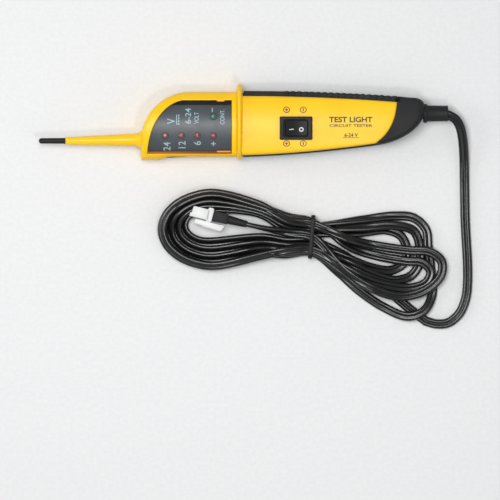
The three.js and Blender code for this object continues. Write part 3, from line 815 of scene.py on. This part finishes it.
def window_left(y):
    """x of the window's curved left edge at a height y."""
    edge = window_outline()[-WINDOW_ARC:] + [WINDOW_CORNER]
    for (x0, y0), (x1, y1) in zip(edge, edge[1:]):
        if y1 <= y <= y0:
            return x0 + (x1 - x0) * (y0 - y) / max(1e-6, y0 - y1)
    return edge[0][0] if y > edge[0][1] else WINDOW_CORNER[0]


def bent_sheet(name, finish, low_y, high_y, gap, below, thick, replaces, shoulder=0.0):
    """A plate bent to the head's dome, as wide as the window less a gap, lower past its shoulder."""
    rows, columns = 44, 40
    top, bottom = [], []
    for r in range(rows + 1):
        y = low_y + (high_y - low_y) * r / rows
        left = window_left(y) + gap
        drop = shoulder * smooth(high_y - 2.6, high_y - 2.2, y)
        xs = [left + (WINDOW_RIGHT - gap - left) * c / columns for c in range(columns + 1)]
        top.append([(x, y, head_dome(y, below) - drop) for x in xs])
        bottom.append([(x, y, head_dome(y, below + thick) - drop) for x in xs])
    return piece(name, two_skins(top, bottom), finish, replaces=replaces)


def display():
    """The lens, the printed plate under it, a dark band of painted shade at the plate's top, a strip of painted shade
    under the window and two tabs, the low one darkened as painted shade.
    """
    bent_sheet("display_lens", "smoked_window", -19.2, 13.5, 0.15, LENS_DEPTH, 1.1, ["display_window"], 0.8)
    bent_sheet("display_plate", "display_mask", -19.3, 13.5, 0.2, PLATE_DEPTH, 0.9, ["display_mask"])
    # a dark band of painted shade along the plate's top, standing for the shade of the lens's top edge
    bent_sheet("display_border", "display_border", 10.7, 13.5, 0.3, PLATE_DEPTH - 0.3, 0.2, [])
    # a strip of painted shade: the shaded inner wall of the frame under the window
    piece("display_shade_strip", block((-61.0, WINDOW_RIGHT - 0.3), (-20.6, -19.5), (15.4, 16.6)), "orange_seal")
    # the low tab takes the yellow darkened as painted shade; the high tab is plain yellow
    tab("display_tab_low", -17.1, -7.9, -19.9, -18.7, 18.3, "amber_tab")
    tab("display_tab_high", -17.1, -12.2, 13.0, 13.9, 19.6, "yellow_plastic")


def tab(name, x0, x1, y0, y1, top, finish):
    return bevelled(piece(name, block((x0, x1), (y0, y1), (top - 3, top)), finish), 0.25)


def lamps():
    """Four red lamps in a row and a green one across from the last, each with a domed end."""
    names = ["led_24_volt", "led_12_volt", "led_6_volt", "led_positive", "led_negative"]
    for n, node in enumerate(names):
        x = LED["x"] + min(n, 3) * LED["pitch"]
        y = LED["red_y"] if n < 4 else LED["green_y"]
        radius, top = LED["radius"], LED["top"] + (1.9 if n == 4 else 0.7)
        base = top - 9.4
        profile = [(base, 0.4), (base, 2.9), (base + 1, 2.9), (base + 1.1, radius), (top - 1.0, radius)]
        profile += [(top - 1.0 + 1.0 * sin(a), radius * cos(a)) for a in (0.3, 0.6, 0.9, 1.2, 1.45)]
        body = loft([circle(x, y, r, z, 40) for z, r in profile])
        colour = "red" if n < 4 else "green"
        piece(node.replace("led", "lamp"), body, f"{colour}_lens", replaces=[node])
        lamp_cup(node, x, y, top, f"lamp_cup_{colour}")


def lamp_cup(node, x, y, top, finish):
    """The lamp's inner cup, seen through its lens as a paler ring with a gap."""
    radius, gap, last = 1.15, 1.0, 23
    ring = []
    for k in range(last + 1):
        turn = gap / 2 + (2 * pi - gap) * k / last
        ring.append((x + radius * cos(turn), y + radius * sin(turn), top - 0.05))
    ribbon(f"{node}_cup", ring, 0.22, 0.5, finish)


# ---- small shapes


def ribbon(name, points, half_width, thick, finish, body="tester", closed=False):
    """A strip of rectangular section laid along points, standing up from them by thick / 2."""
    rings = []
    first, last = (points[-1], points[0]) if closed else (points[0], points[-1])
    around = [first, *points, last]
    for before, p, after in zip(around, points, around[2:]):
        along = (Vector(after) - Vector(before)).normalized()
        side = along.cross(Vector((0, 0, 1))).normalized() * half_width
        up = Vector((0, 0, thick / 2))
        p = Vector(p)
        rings.append([tuple(p + a + b) for a, b in ((-side, -up), (side, -up), (side, up), (-side, up))])
    if closed:
        rings.append(rings[0])
    return piece(name, loft(rings, capped=not closed), finish, body)


def lettering(name, text, place, size, finish, height, turn, stretch, bold):
    """Printed text laid on a surface: height(x, y) gives the surface under each of its points."""
    data = bpy.data.curves.new(name, "FONT")
    data.body = text
    data.size = size
    data.align_x = "CENTER"
    data.align_y = "CENTER"
    data.resolution_u = 4
    data.offset = bold
    holder = put(name, data)
    mesh = bpy.data.meshes.new_from_object(holder.evaluated_get(bpy.context.evaluated_depsgraph_get()))
    bpy.data.objects.remove(holder)
    made = bmesh.new()
    made.from_mesh(mesh)
    bmesh.ops.remove_doubles(made, verts=made.verts, dist=0.01)
    grid_cuts(made, 1.2)
    out = bmesh.ops.extrude_face_region(made, geom=made.faces[:])
    raised = {v for v in out["geom"] if isinstance(v, bmesh.types.BMVert)}
    spin = Matrix.Rotation(radians(turn), 2)
    for v in made.verts:
        flat = spin @ Vector((v.co.x * stretch, v.co.y))
        x, y = place[0] + flat.x, place[1] + flat.y
        z = height(x, y) + (0.05 if v in raised else -0.05)
        v.co = Vector((x * MM, y * MM, z * MM))
    bmesh.ops.recalc_face_normals(made, faces=made.faces)
    made.to_mesh(mesh)
    made.free()
    return finished(name, mesh, finish, sharp=35)


def grid_cuts(made, pitch):
    """Cuts flat letters into cells of that pitch, so that they can bend over a surface."""
    for axis in (0, 1):
        low = min(v.co[axis] for v in made.verts)
        high = max(v.co[axis] for v in made.verts)
        across = Vector((1, 0, 0)) if axis == 0 else Vector((0, 1, 0))
        for n in range(1, ceil((high - low) / pitch)):
            whole = [*made.verts, *made.edges, *made.faces]
            bmesh.ops.bisect_plane(made, geom=whole, plane_co=across * (low + n * pitch), plane_no=across)


def printed_marks():
    """The display's lettering, read from bottom to top, and the generic marks on the handle."""

    def plate(x, y):
        return head_dome(y, PLATE_DEPTH)

    for name, text, x, y, size, stretch, bold in (
        ("24_volt", "24", -49.1, -16.0, 6.5, 0.88, 0.06),
        ("12_volt", "12", -39.3, -15.4, 6.5, 0.88, 0.06),
        ("6_volt", "6", -29.4, -13.9, 6.5, 0.88, 0.06),
        ("plus", "+", -19.0, -14.3, 6.4, 0.85, 0.08),
        ("unit", "V", -46.2, 0.1, 7.4, 0.74, 0.08),
        ("range", "6-24", -35.4, 3.5, 5.2, 1.1, 0.05),
        ("volt", "VOLT", -30.0, 2.3, 4.2, 0.7, 0.05),
        ("continuity", "CONT.", -13.4, 3.0, 3.9, 0.82, 0.05),
    ):
        lettering(f"print_{name}", text, (x, y), size, "print_cyan", plate, 90, stretch, bold)
    dash("print_minus", (-20.0, 6.0), (-20.0, 8.9), 0.3, plate, "print_cyan")
    dash("print_direct", (-43.0, -2.2), (-43.0, 4.4), 0.24, plate, "print_cyan")
    for n in range(4):
        y = -2.2 + n * 1.8
        dash(f"print_direct_{n}", (-41.7, y), (-41.7, y + 1.2), 0.4, plate, "print_cyan")
    for name, text, x, y, size, stretch, bold in (
        ("name", "TEST LIGHT", 69.2, 0.9, 4.8, 1.1, 0.14),
        ("use", "CIRCUIT TESTER", 69.2, -2.9, 2.5, 1.5, 0.05),
        ("small", "6-24 V", 69.4, -9.0, 3.2, 1.0, 0.08),
    ):
        lettering(f"print_{name}", text, (x, y), size, "print_dark", handle_dome, 0, stretch, bold)
    dash("print_underline", (64.2, -10.6), (74.6, -10.6), 0.17, handle_dome, "print_dark")
    for side, y in (("high", 7.4), ("low", -14.3)):
        polarity_mark(f"print_positive_{side}", 27.8, y, True)
        polarity_mark(f"print_negative_{side}", 38.6, y, False)


def dash(name, a, b, half_width, height, finish):
    """A printed stroke from a to b over a surface."""
    steps = 8
    points = []
    for k in range(steps + 1):
        x = a[0] + (b[0] - a[0]) * k / steps
        y = a[1] + (b[1] - a[1]) * k / steps
        points.append((x, y, height(x, y)))
    return ribbon(name, points, half_width, 0.1, finish)


def polarity_mark(name, x, y, cross):
    """A ring with a plus or an upright minus in it, printed on the handle."""
    ring = [(x + 1.95 * cos(t), y + 1.75 * sin(t)) for t in turns(40)]
    ribbon(name, [(a, b, handle_dome(a, b)) for a, b in ring], 0.27, 0.1, "print_brown", closed=True)
    dash(f"{name}_bar", (x, y - 0.95), (x, y + 0.95), 0.34, handle_dome, "print_brown")
    if cross:
        dash(f"{name}_cross", (x - 1.0, y), (x + 1.0, y), 0.3, handle_dome, "print_brown")


# ---- rocker switch


def rounded_box_ring(half_x, half_y, radius, z, centre):
    """A rectangle with rounded corners, at a height z over its centre."""
    ring = []
    for cx, cy, start in ((1, 1, 0), (-1, 1, 90), (-1, -1, 180), (1, -1, 270)):
        for k in range(7):
            turn = radians(start + 15 * k)
            x = cx * (half_x - radius) + radius * cos(turn)
            y = cy * (half_y - radius) + radius * sin(turn)
            ring.append((centre[0] + x, centre[1] + y, centre[2] + z))
    return ring


def switch_bezel():
    """A flat frame with rounded corners and a well for the rocker."""
    centre = (SWITCH["x"], SWITCH["y"], SWITCH["z"])
    steps = [
        (10.5, 7.5, 0.7, -1.1), (10.5, 7.5, 0.7, 1.2), (10.4, 7.4, 0.7, 1.55), (10.15, 7.15, 0.65, 1.75),
        (9.8, 6.8, 0.6, 1.8), (8.1, 5.85, 1.6, 1.85), (7.85, 5.6, 1.5, 1.75), (7.65, 5.4, 1.4, 1.35),
        (7.55, 5.3, 1.35, -5),
    ]
    rings = [rounded_box_ring(x, y, r, z, centre) for x, y, r, z in steps]
    return piece("switch_bezel", loft(rings), "black_plastic", replaces=["switch_case"], sharp=30)


def on_rocker(v):
    """Turns a point drawn about the rocker's axle into its place at rest."""
    turn = radians(SWITCH["tilt"])
    x, y, z = v
    return (
        SWITCH["x"] + x * cos(turn) + z * sin(turn),
        SWITCH["y"] + y,
        SWITCH["z"] - x * sin(turn) + z * cos(turn),
    )


def rocker_top(x):
    """Height of the rocker's dished face over its axle."""
    return 1.9 + 1.1 * (x / ROCKER_REACH) ** 2


def rocker_button():
    """The paddle with its rounded face and its stem, and the two marks printed on it."""
    long, half, corner, edge = ROCKER_REACH, 4.85, 1.3, 0.4
    skirt = [(long, -1.2), (3, -3.2), (1.9, -3.6), (1.9, -8)]
    skirt += [(-x, z) for x, z in reversed(skirt)]
    depths = [0, 0.06, 0.2, 0.45, 0.8, corner]
    ends = [0, 0.005, 0.015, 0.03, 0.06]
    stops = ends + [k / 20 for k in range(2, 19)] + [1 - t for t in reversed(ends)]
    rows = []
    for y, depth in [(d - half, d) for d in depths] + [(half - d, d) for d in reversed(depths)]:
        reach = long - rounded(depth, corner)
        ring = []
        for t in stops:
            x = reach * (2 * t - 1)
            drop = rounded(depth, edge) + rounded(reach - abs(x), edge)
            ring.append((x, y, rocker_top(x) - min(edge, drop)))
        ring += [(max(-reach, min(reach, x)), y, z) for x, z in skirt]
        rows.append([on_rocker(p) for p in ring])
    piece("rocker_button", loft(rows), "black_plastic", "rocker", ["rocker"], sharp=30)

    bar = [(-4.9 + 3.1 * k / 6, 0.05 * k - 1.0) for k in range(7)]
    bar = [on_rocker((x, y, rocker_top(x))) for x, y in bar]
    ribbon("rocker_mark_on", bar, 0.26, 0.1, "print_white", "rocker")
    ring = [(3.1 + 1.15 * cos(t), 1.15 * sin(t) - 0.85) for t in turns(32)]
    ring = [on_rocker((x, y, rocker_top(x))) for x, y in ring]
    ribbon("rocker_mark_off", ring, 0.3, 0.1, "print_white", "rocker", closed=True)


# ---- probe cap


def tip_cap():
    """The thin cap: its nose, its outside, its open end and the bore for the needle."""
    profile = [(-132.3, 0.35), (-132.2, 0.8), (-131.9, 1.25), (-131.4, 1.6), (-130.8, 1.76), (-130, 1.8)]
    profile += [(-116.2, 1.85), (-115.7, 1.95), (-115.15, 1.95), (-115.1, 1.3), (-129, 1.25), (-130.9, 0.4)]
    turned = lathe(profile, PROBE["y"], PROBE["z"], sides=40)
    return piece("probe_cap", turned, "black_plastic", "tip_cap", ["tip_cap"])


# ---- connector


def on_plug(v):
    """Turns a point drawn about the connector's collar into its place in the row."""
    turn = radians(PLUG["turn"])
    x, y, z = v
    return (
        PLUG["x"] + x * cos(turn) - y * sin(turn),
        PLUG["y"] + x * sin(turn) + y * cos(turn),
        PLUG["lift"] + PLUG["height"] / 2 + z,
    )


def plug_slab(name, outline, half, finish, body="tester", replaces=(), rim=0.35):
    """An outline in the connector's own plane, thick along Z and rounded at its edges."""
    low = [(-half, rim), (-half + rim * 0.3, rim * 0.3), (-half + rim, 0)]
    levels = low + [(-z, inset) for z, inset in reversed(low)]
    rings = [[on_plug(p) for p in inset_ring(outline, inset, z)] for z, inset in levels]
    return piece(name, loft(rings), finish, body, replaces)


def contact_way(z):
    """A cutter for the round way that a contact sits in, open at the connector's front."""
    radius, y, front, back = 1.1, 0.3, -14, -8.5
    ring = [(y + radius * cos(t), z + radius * sin(t)) for t in turns(24)]
    return loft([[on_plug((x, *p)) for p in ring] for x in (front, back)])


def connector():
    """The white shell, its collar and latch lever, the black block behind them and its sleeve."""
    half = PLUG["height"] / 2
    front = [(-12.8, -3.6), (-0.4, -3.6), (-0.4, 3.3), (-10.9, 3.3), (-11.6, 2.7), (-11.8, -1), (-12.8, -1.3)]
    shell = plug_slab("connector_shell", front, half, "white_nylon", replaces=["connector_housing"])
    cut(shell, [contact_way(-2), contact_way(2)])
    flange = [
        (-1.9, -3.7), (-1.3, -4.3), (1.3, -4.3), (1.9, -3.7), (1.9, 3.7), (1.6, 4.4), (0.9, 4.8),
        (-0.9, 4.8), (-1.6, 4.4), (-1.9, 3.7),
    ]
    collar = plug_slab("connector_collar", flange, half, "white_nylon")
    arm = [
        (-8.7, -6.9), (-8.4, -7.4), (-7.8, -7.6), (-3.4, -7.8), (-2.4, -8.4), (8.8, -8.6), (9.5, -8.2),
        (10.8, -5.0), (10.5, -4.5), (1.5, -4.5), (0.9, -4.0), (-0.9, -4.0), (-1.5, -4.5), (-7.9, -4.4),
        (-8.5, -4.7), (-8.8, -5.4),
    ]
    lever = plug_slab("connector_lever", arm, 2.6, "white_nylon", "connector_latch", ["connector_latch"], 0.3)
    back = [(2.0, -3.4), (12, -3.2), (12, 3.3), (2.0, 3.8)]
    body = plug_slab("connector_block", back, 3.9, "black_grip", replaces=["connector_overmould"], rim=0.8)
    profile = [(11.9, 2.2), (11.9, 2.7), (12.6, 2.85), (17, 2.6), (23.4, 2.15), (24.2, 2.05)]
    profile += [(24.6, 1.9), (24.6, 1.2)]
    verts, faces = lathe(profile, 0, 0, sides=40)
    tall = [on_plug((x, y, z * (1.2 + 0.4 * smooth(12, 20, x)))) for x, y, z in verts]
    sleeve = piece("connector_sleeve", (tall, faces), "black_grip", replaces=["connector_relief"])
    return [shell, collar, lever, body, sleeve]


# ---- the lead

# Where the lead lies between the boot and the hank, in millimetres: the CAD lead's own route.
LEAD_ROUTE = [
    (131.2, 4.9, 12.95), (134.1, 3.7, 12.7), (137.4, 1.6, 12.1), (140.2, -3.0, 10.7), (141.9, -9.6, 8.5),
    (142.9, -18.0, 5.6), (143.4, -27.5, 3.0), (143.6, -37.0, 1.9), (143.8, -50.0, 1.65), (144.1, -64.0, 1.65),
    (144.9, -79.0, 1.65), (145.6, -92.0, 1.65), (145.6, -104.0, 1.65), (144.4, -114.5, 1.65),
    (140.4, -124.0, 1.65), (133.4, -130.0, 1.65), (125.6, -131.0, 1.65), (118.6, -129.2, 1.65),
]
FLAT, EDGE = 0, 90  # roll of the flat cord: lying on its wide side, or standing on its narrow one


def tie_slot(n):
    """y of the hank's passes under the tie: eight on edge side by side."""
    return -63.3 - 3.2 * n


def left_bend(low, high, radius, leftmost, centre_y, roll):
    """One bend at the hank's left end, from a low slot round to a high one: (x, y, roll)."""
    half_length = min(1.45 * radius, 34)
    centre_x = leftmost + half_length
    points = [(28, low - 0.6, roll), (12, centre_y - radius * 0.72, roll)]
    for k in range(9):
        turn = radians(270 - 22.5 * k)
        points.append((centre_x + half_length * cos(turn), centre_y + radius * sin(turn), roll))
    points += [(10, centre_y + radius * 0.68, roll), (29, high + 2.4, roll)]
    return points


def right_bend(bends, roll):
    """One bend at the hank's right end, which leans over where it leaves and joins the waist."""
    leaning = 42
    inner = [(x, y, roll) for x, y in bends[1:-1]]
    return [(*bends[0], leaning), *inner, (*bends[-1], leaning)]


LEFT_BENDS = [
    # radius, leftmost x, centre y: the loops nest round the connector
    (10.2, -38.0, -66.8),
    (14.2, -42.3, -68.0),
    (18.4, -46.8, -69.0),
    (22.8, -51.4, -69.6),
]
RIGHT_BENDS = [
    [(74, -72), (93, -70), (102.5, -74), (106, -82.5), (104.5, -91), (96, -96), (82, -94), (66, -87.5)],
    [
        (76, -68.5), (98, -67), (110.5, -70.5), (114.5, -80), (114.5, -91), (109, -99.5), (98, -102.5),
        (83, -98.5), (66, -90.5),
    ],
    [
        (78, -63), (98, -60.8), (110.5, -62), (118.5, -69.5), (120, -81), (121.8, -96), (122.8, -111),
        (117.5, -122), (106.5, -126), (91, -120), (76, -110), (62, -98),
    ],
    [
        (68, -80.5), (88, -87), (106, -90), (116, -91), (121.5, -97), (118.5, -104), (108, -107.5),
        (93, -106), (79, -101.8), (64, -93.5),
    ],
    [
        (68, -75.8), (89, -80.6), (108, -83.2), (120.5, -84), (128.4, -90), (128, -99.5), (117, -109.5),
        (101, -112.9), (84, -108), (66, -96.5),
    ],
]


def hank_route():
    """The whole hank in plan, from the lead to the connector: (x, y, roll) points."""
    waist = TIE["x"]
    top_turn = {"in": -82.8, "out": -66.0, "end": -74.4}  # y under the tie of the turn that lies on the rest
    low, high = tie_slot(4), tie_slot(3)
    route = [(108.5, -121.5, FLAT), (96, -111, FLAT), (80, -97, 10), (62, -84, 50), (waist, low, EDGE)]
    for n, (radius, leftmost, centre_y) in enumerate(LEFT_BENDS):
        last = n == len(LEFT_BENDS) - 1
        route += left_bend(low, high, radius, leftmost, centre_y, 62)
        route.append((waist, high, EDGE))
        route += right_bend(RIGHT_BENDS[n], 14)
        low = top_turn["in"] if last else tie_slot(5 + n)
        high = top_turn["out"] if last else tie_slot(2 - n)
        route.append((waist, low, FLAT if last else EDGE))
    route += left_bend(low, high, 23.6, -52.8, -69.6, 32)
    route.append((waist, high, FLAT))
    route += right_bend(RIGHT_BENDS[-1], 10)
    route.append((waist, top_turn["end"], FLAT))
    x, y, _ = on_plug((SLEEVE_END, 0, 0))
    route += [(31, -72.0, 20), (16, -69.3, 75), (x + 4.5, y - 1.1, EDGE), (x, y, EDGE)]
    return route


def mixed(a, b, start, end, t):
    """The point at t on the line that passes a at start and b at end."""
    return a * ((end - t) / (end - start)) + b * ((t - start) / (end - start))


def spline(points, step):
    """Points a step apart along a centripetal Catmull-Rom curve through the given ones."""
    rows = [Vector(p) for p in points]
    rows = [rows[0] * 2 - rows[1], *rows, rows[-1] * 2 - rows[-2]]
    dense = []
    for a, b, c, d in zip(rows, rows[1:], rows[2:], rows[3:]):
        t1 = max(1e-3, (b - a).length ** 0.5)
        t2 = t1 + max(1e-3, (c - b).length ** 0.5)
        t3 = t2 + max(1e-3, (d - c).length ** 0.5)
        for k in range(24):
            t = t1 + (t2 - t1) * k / 24
            ab, bc, cd = mixed(a, b, 0, t1, t), mixed(b, c, t1, t2, t), mixed(c, d, t2, t3, t)
            dense.append(mixed(mixed(ab, bc, 0, t2, t), mixed(bc, cd, t1, t3, t), t1, t2, t))
    dense.append(rows[-2])
    made, carried = [dense[0]], 0
    for a, b in zip(dense, dense[1:]):
        length = (b - a).length
        while carried + length >= step and length > 1e-9:
            t = (step - carried) / length
            a = a.lerp(b, t)
            length = (b - a).length
            made.append(a)
            carried = 0
        carried += length
    if (made[-1] - dense[-1]).length > step / 3:
        made.append(dense[-1])
    return made


def half_sizes(roll):
    """Half the width and half the height of the cord's section at a roll."""
    c, s = cos(radians(roll)), sin(radians(roll))
    wide, thick = CORD["width"] / 2, CORD["thick"] / 2
    return hypot(wide * c, thick * s), hypot(wide * s, thick * c)


def laid(route, step, start_height):
    """Heights of the turns as each is laid on the ones before it: (x, y, z, roll) points."""
    roll_scale = 0.05  # keeps the roll from steering the curve's spacing
    points = spline([(x, y, roll * roll_scale) for x, y, roll in route], step)
    plan = [Vector((p.x, p.y, p.z / roll_scale)) for p in points]
    halves = [half_sizes(p.z) for p in plan]
    slack = 0.92  # how near two turns come, in parts of their widths, before one climbs the other
    clearance = 0.1
    own = int(14 / step)  # a turn doesn't climb its own last stretch
    heights = []
    for n, (p, (wide, tall)) in enumerate(zip(plan, halves)):
        z = tall + clearance
        for q, (q_wide, q_tall), under in zip(plan[: max(0, n - own + 1)], halves, heights):
            apart = hypot(p.x - q.x, p.y - q.y) / (wide + q_wide)
            if apart < slack:
                z = max(z, under + (tall + q_tall) * sqrt(1 - (apart / slack) ** 2))
        heights.append(z)
    climb, bridge, ease = (int(reach / step) for reach in (9, 16, 4.8))
    heights = settle(heights, climb, bridge)
    heights = [h * smooth(-1, 12, n) + start_height * (1 - smooth(-1, 12, n)) for n, h in enumerate(heights)]
    heights = averaged([min(h, under_tie(p)) for p, h in zip(plan, heights)], ease, 2)
    return [(p.x, p.y, max(tall + clearance, h), p.z) for p, (_, tall), h in zip(plan, halves, heights)]


def under_tie(p):
    """How high a turn may be: the tie pulls the turns down onto each other."""
    on_edge, flat_above = 3.3, 4.9  # height of the turns on edge, and of the flat ones over them
    layer = on_edge + flat_above * smooth(70, 20, p.z)
    most = 8.2 + 3.8 * smooth(-5, 35, p.x)  # the left loops lie lower than the right ones
    slope, waist = 0.3, 5
    return min(most, layer + max(0, abs(p.x - TIE["x"]) - waist) * slope)


def settle(heights, reach, span):
    """Bridges short dips, widens each hump so that the cord climbs slowly, then smooths it."""
    high = [max(heights[max(0, n - span) : n + span + 1]) for n in range(len(heights))]
    bridged = [min(high[max(0, n - span) : n + span + 1]) for n in range(len(heights))]
    wide = [max(bridged[max(0, n - reach) : n + reach + 1]) for n in range(len(heights))]
    return averaged(wide, reach // 2, 3)


def averaged(values, reach, times):
    """Each value becomes the mean of those within reach of it, that many times over."""
    for _ in range(times):
        around = [values[max(0, n - reach) : n + reach + 1] for n in range(len(values))]
        values = [sum(near) / len(near) for near in around]
    return values


def twin_section(sides=10):
    """The flat cord's section: two round cores side by side with a groove between them."""
    core, offset = CORD["thick"] / 2, (CORD["width"] - CORD["thick"]) / 2
    section = []
    half_arc = 146  # degrees of each core's outside, either way from its outer edge
    for side in (1, -1):
        for k in range(sides + 1):
            turn = radians(-half_arc + 2 * half_arc * k / sides)
            section.append((side * (offset + core * cos(turn)), side * core * sin(turn)))
    return section


def cord_mesh(path):
    """Sweeps the twin section along (x, y, z, roll) points."""
    rings = []
    section = twin_section()
    for n, (x, y, z, roll) in enumerate(path):
        a, b = path[max(0, n - 1)], path[min(len(path) - 1, n + 1)]
        along = Vector((b[0] - a[0], b[1] - a[1], b[2] - a[2])).normalized()
        side = along.cross(Vector((0, 0, 1))).normalized()
        up = side.cross(along)
        turn = radians(roll)
        wide_axis = side * cos(turn) + up * sin(turn)
        thin_axis = up * cos(turn) - side * sin(turn)
        rings.append([tuple(Vector((x, y, z)) + wide_axis * u + thin_axis * v) for u, v in section])
    return loft(rings)


def lead():
    """One cord from the boot to the connector, through every turn of the hank."""
    step = 1.6
    free = [tuple(p) for p in spline([(*p, FLAT) for p in LEAD_ROUTE], step)]
    x, y, height = LEAD_ROUTE[-1]
    coil = laid([(x, y, FLAT), *hank_route()], step, height)
    last = 26  # points over which the cord rises to the connector's sleeve
    sleeve_height = PLUG["lift"] + PLUG["height"] / 2
    rise = []
    for n, (x, y, z, roll) in enumerate(coil[-last:]):
        rise.append((x, y, z + (sleeve_height - z) * smooth(0, last - 4, n), roll))
    path = free[:-1] + coil[:-last] + rise
    made = piece("lead", cord_mesh(path), "cord_pvc", replaces=["cord_lead", "cord_hank"], sharp=60)
    points = [(x * MM, y * MM, z * MM) for x, y, z, _ in path]
    length = sum(dist(a, b) for a, b in zip(points, points[1:]))
    return made, points, length


def cord_tie():
    """A black band pulled tight round the hank's waist, leaning as in the photo."""
    x, low, high = TIE["x"], TIE["low_y"], TIE["high_y"]
    radius, top, lean = 3.4, TIE["height"], 1.1 / 14
    middle = Vector(((low + high) / 2, top / 2))
    near, far, over, under = low + radius, high - radius, top - radius, radius
    loop = []
    for cy, cz, start in ((far, over, 0), (near, over, 90), (near, under, 180), (far, under, 270)):
        for k in range(9):
            turn = radians(start + 90 * k / 8)
            loop.append((cy + radius * cos(turn), cz + radius * sin(turn)))
    section = ((-1, 1), (-0.75, 0), (0.75, 0), (1, 1), (0.75, 2), (-0.75, 2))
    rings = []
    for along, inner in section:
        ring = []
        for y, z in loop:
            inward = (middle - Vector((y, z))).normalized() * TIE["thick"] * inner / 2
            ring.append((x + along * TIE["width"] / 2 + lean * (y - middle.x), y + inward.x, z + inward.y))
        rings.append(ring)
    rings.append(rings[0])
    return piece("tie_band", loft(rings, capped=False), "black_plastic", replaces=["cord_tie"])


# ---- assembly


def dress_nodes():
    """Gives each CAD node that still shows its material."""
    for part in frame["record"]["subparts"]:
        node = bpy.data.objects.get(part["node"])
        if node:
            node.data.materials.clear()
            node.data.materials.append(MATERIALS[part["material_slot"]])


MATERIALS = make_materials()
SLOTS = {m["slot"] for m in frame["record"]["materials"]}

camera_and_light()
dress_nodes()
cord, cord_path, cord_length = lead()
tie = cord_tie()
plug_pieces = connector()
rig.cord(
    cord,
    exit=cord_path[0],
    length=cord_length,
    diameter=CORD["width"] * MM,
    far_end="connector",
    stiffness="limp",
    lay="coiled",
    path=cord_path,
    with_pieces=[*plug_pieces, tie, "connector_contact_1", "connector_contact_2"],
)
upper_head()
lower_head()
nose()
guard()
handle_cover()
grip_shell()
cable_boot()
display()
lamps()
printed_marks()
switch_bezel()
rocker_button()
tip_cap()

VISUAL_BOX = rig.bounds()
boxes = {"cad": [list(c) for c in CAD_BOX], "visual": [list(c) for c in VISUAL_BOX]}
json.dump(boxes, open("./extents.json", "w"))
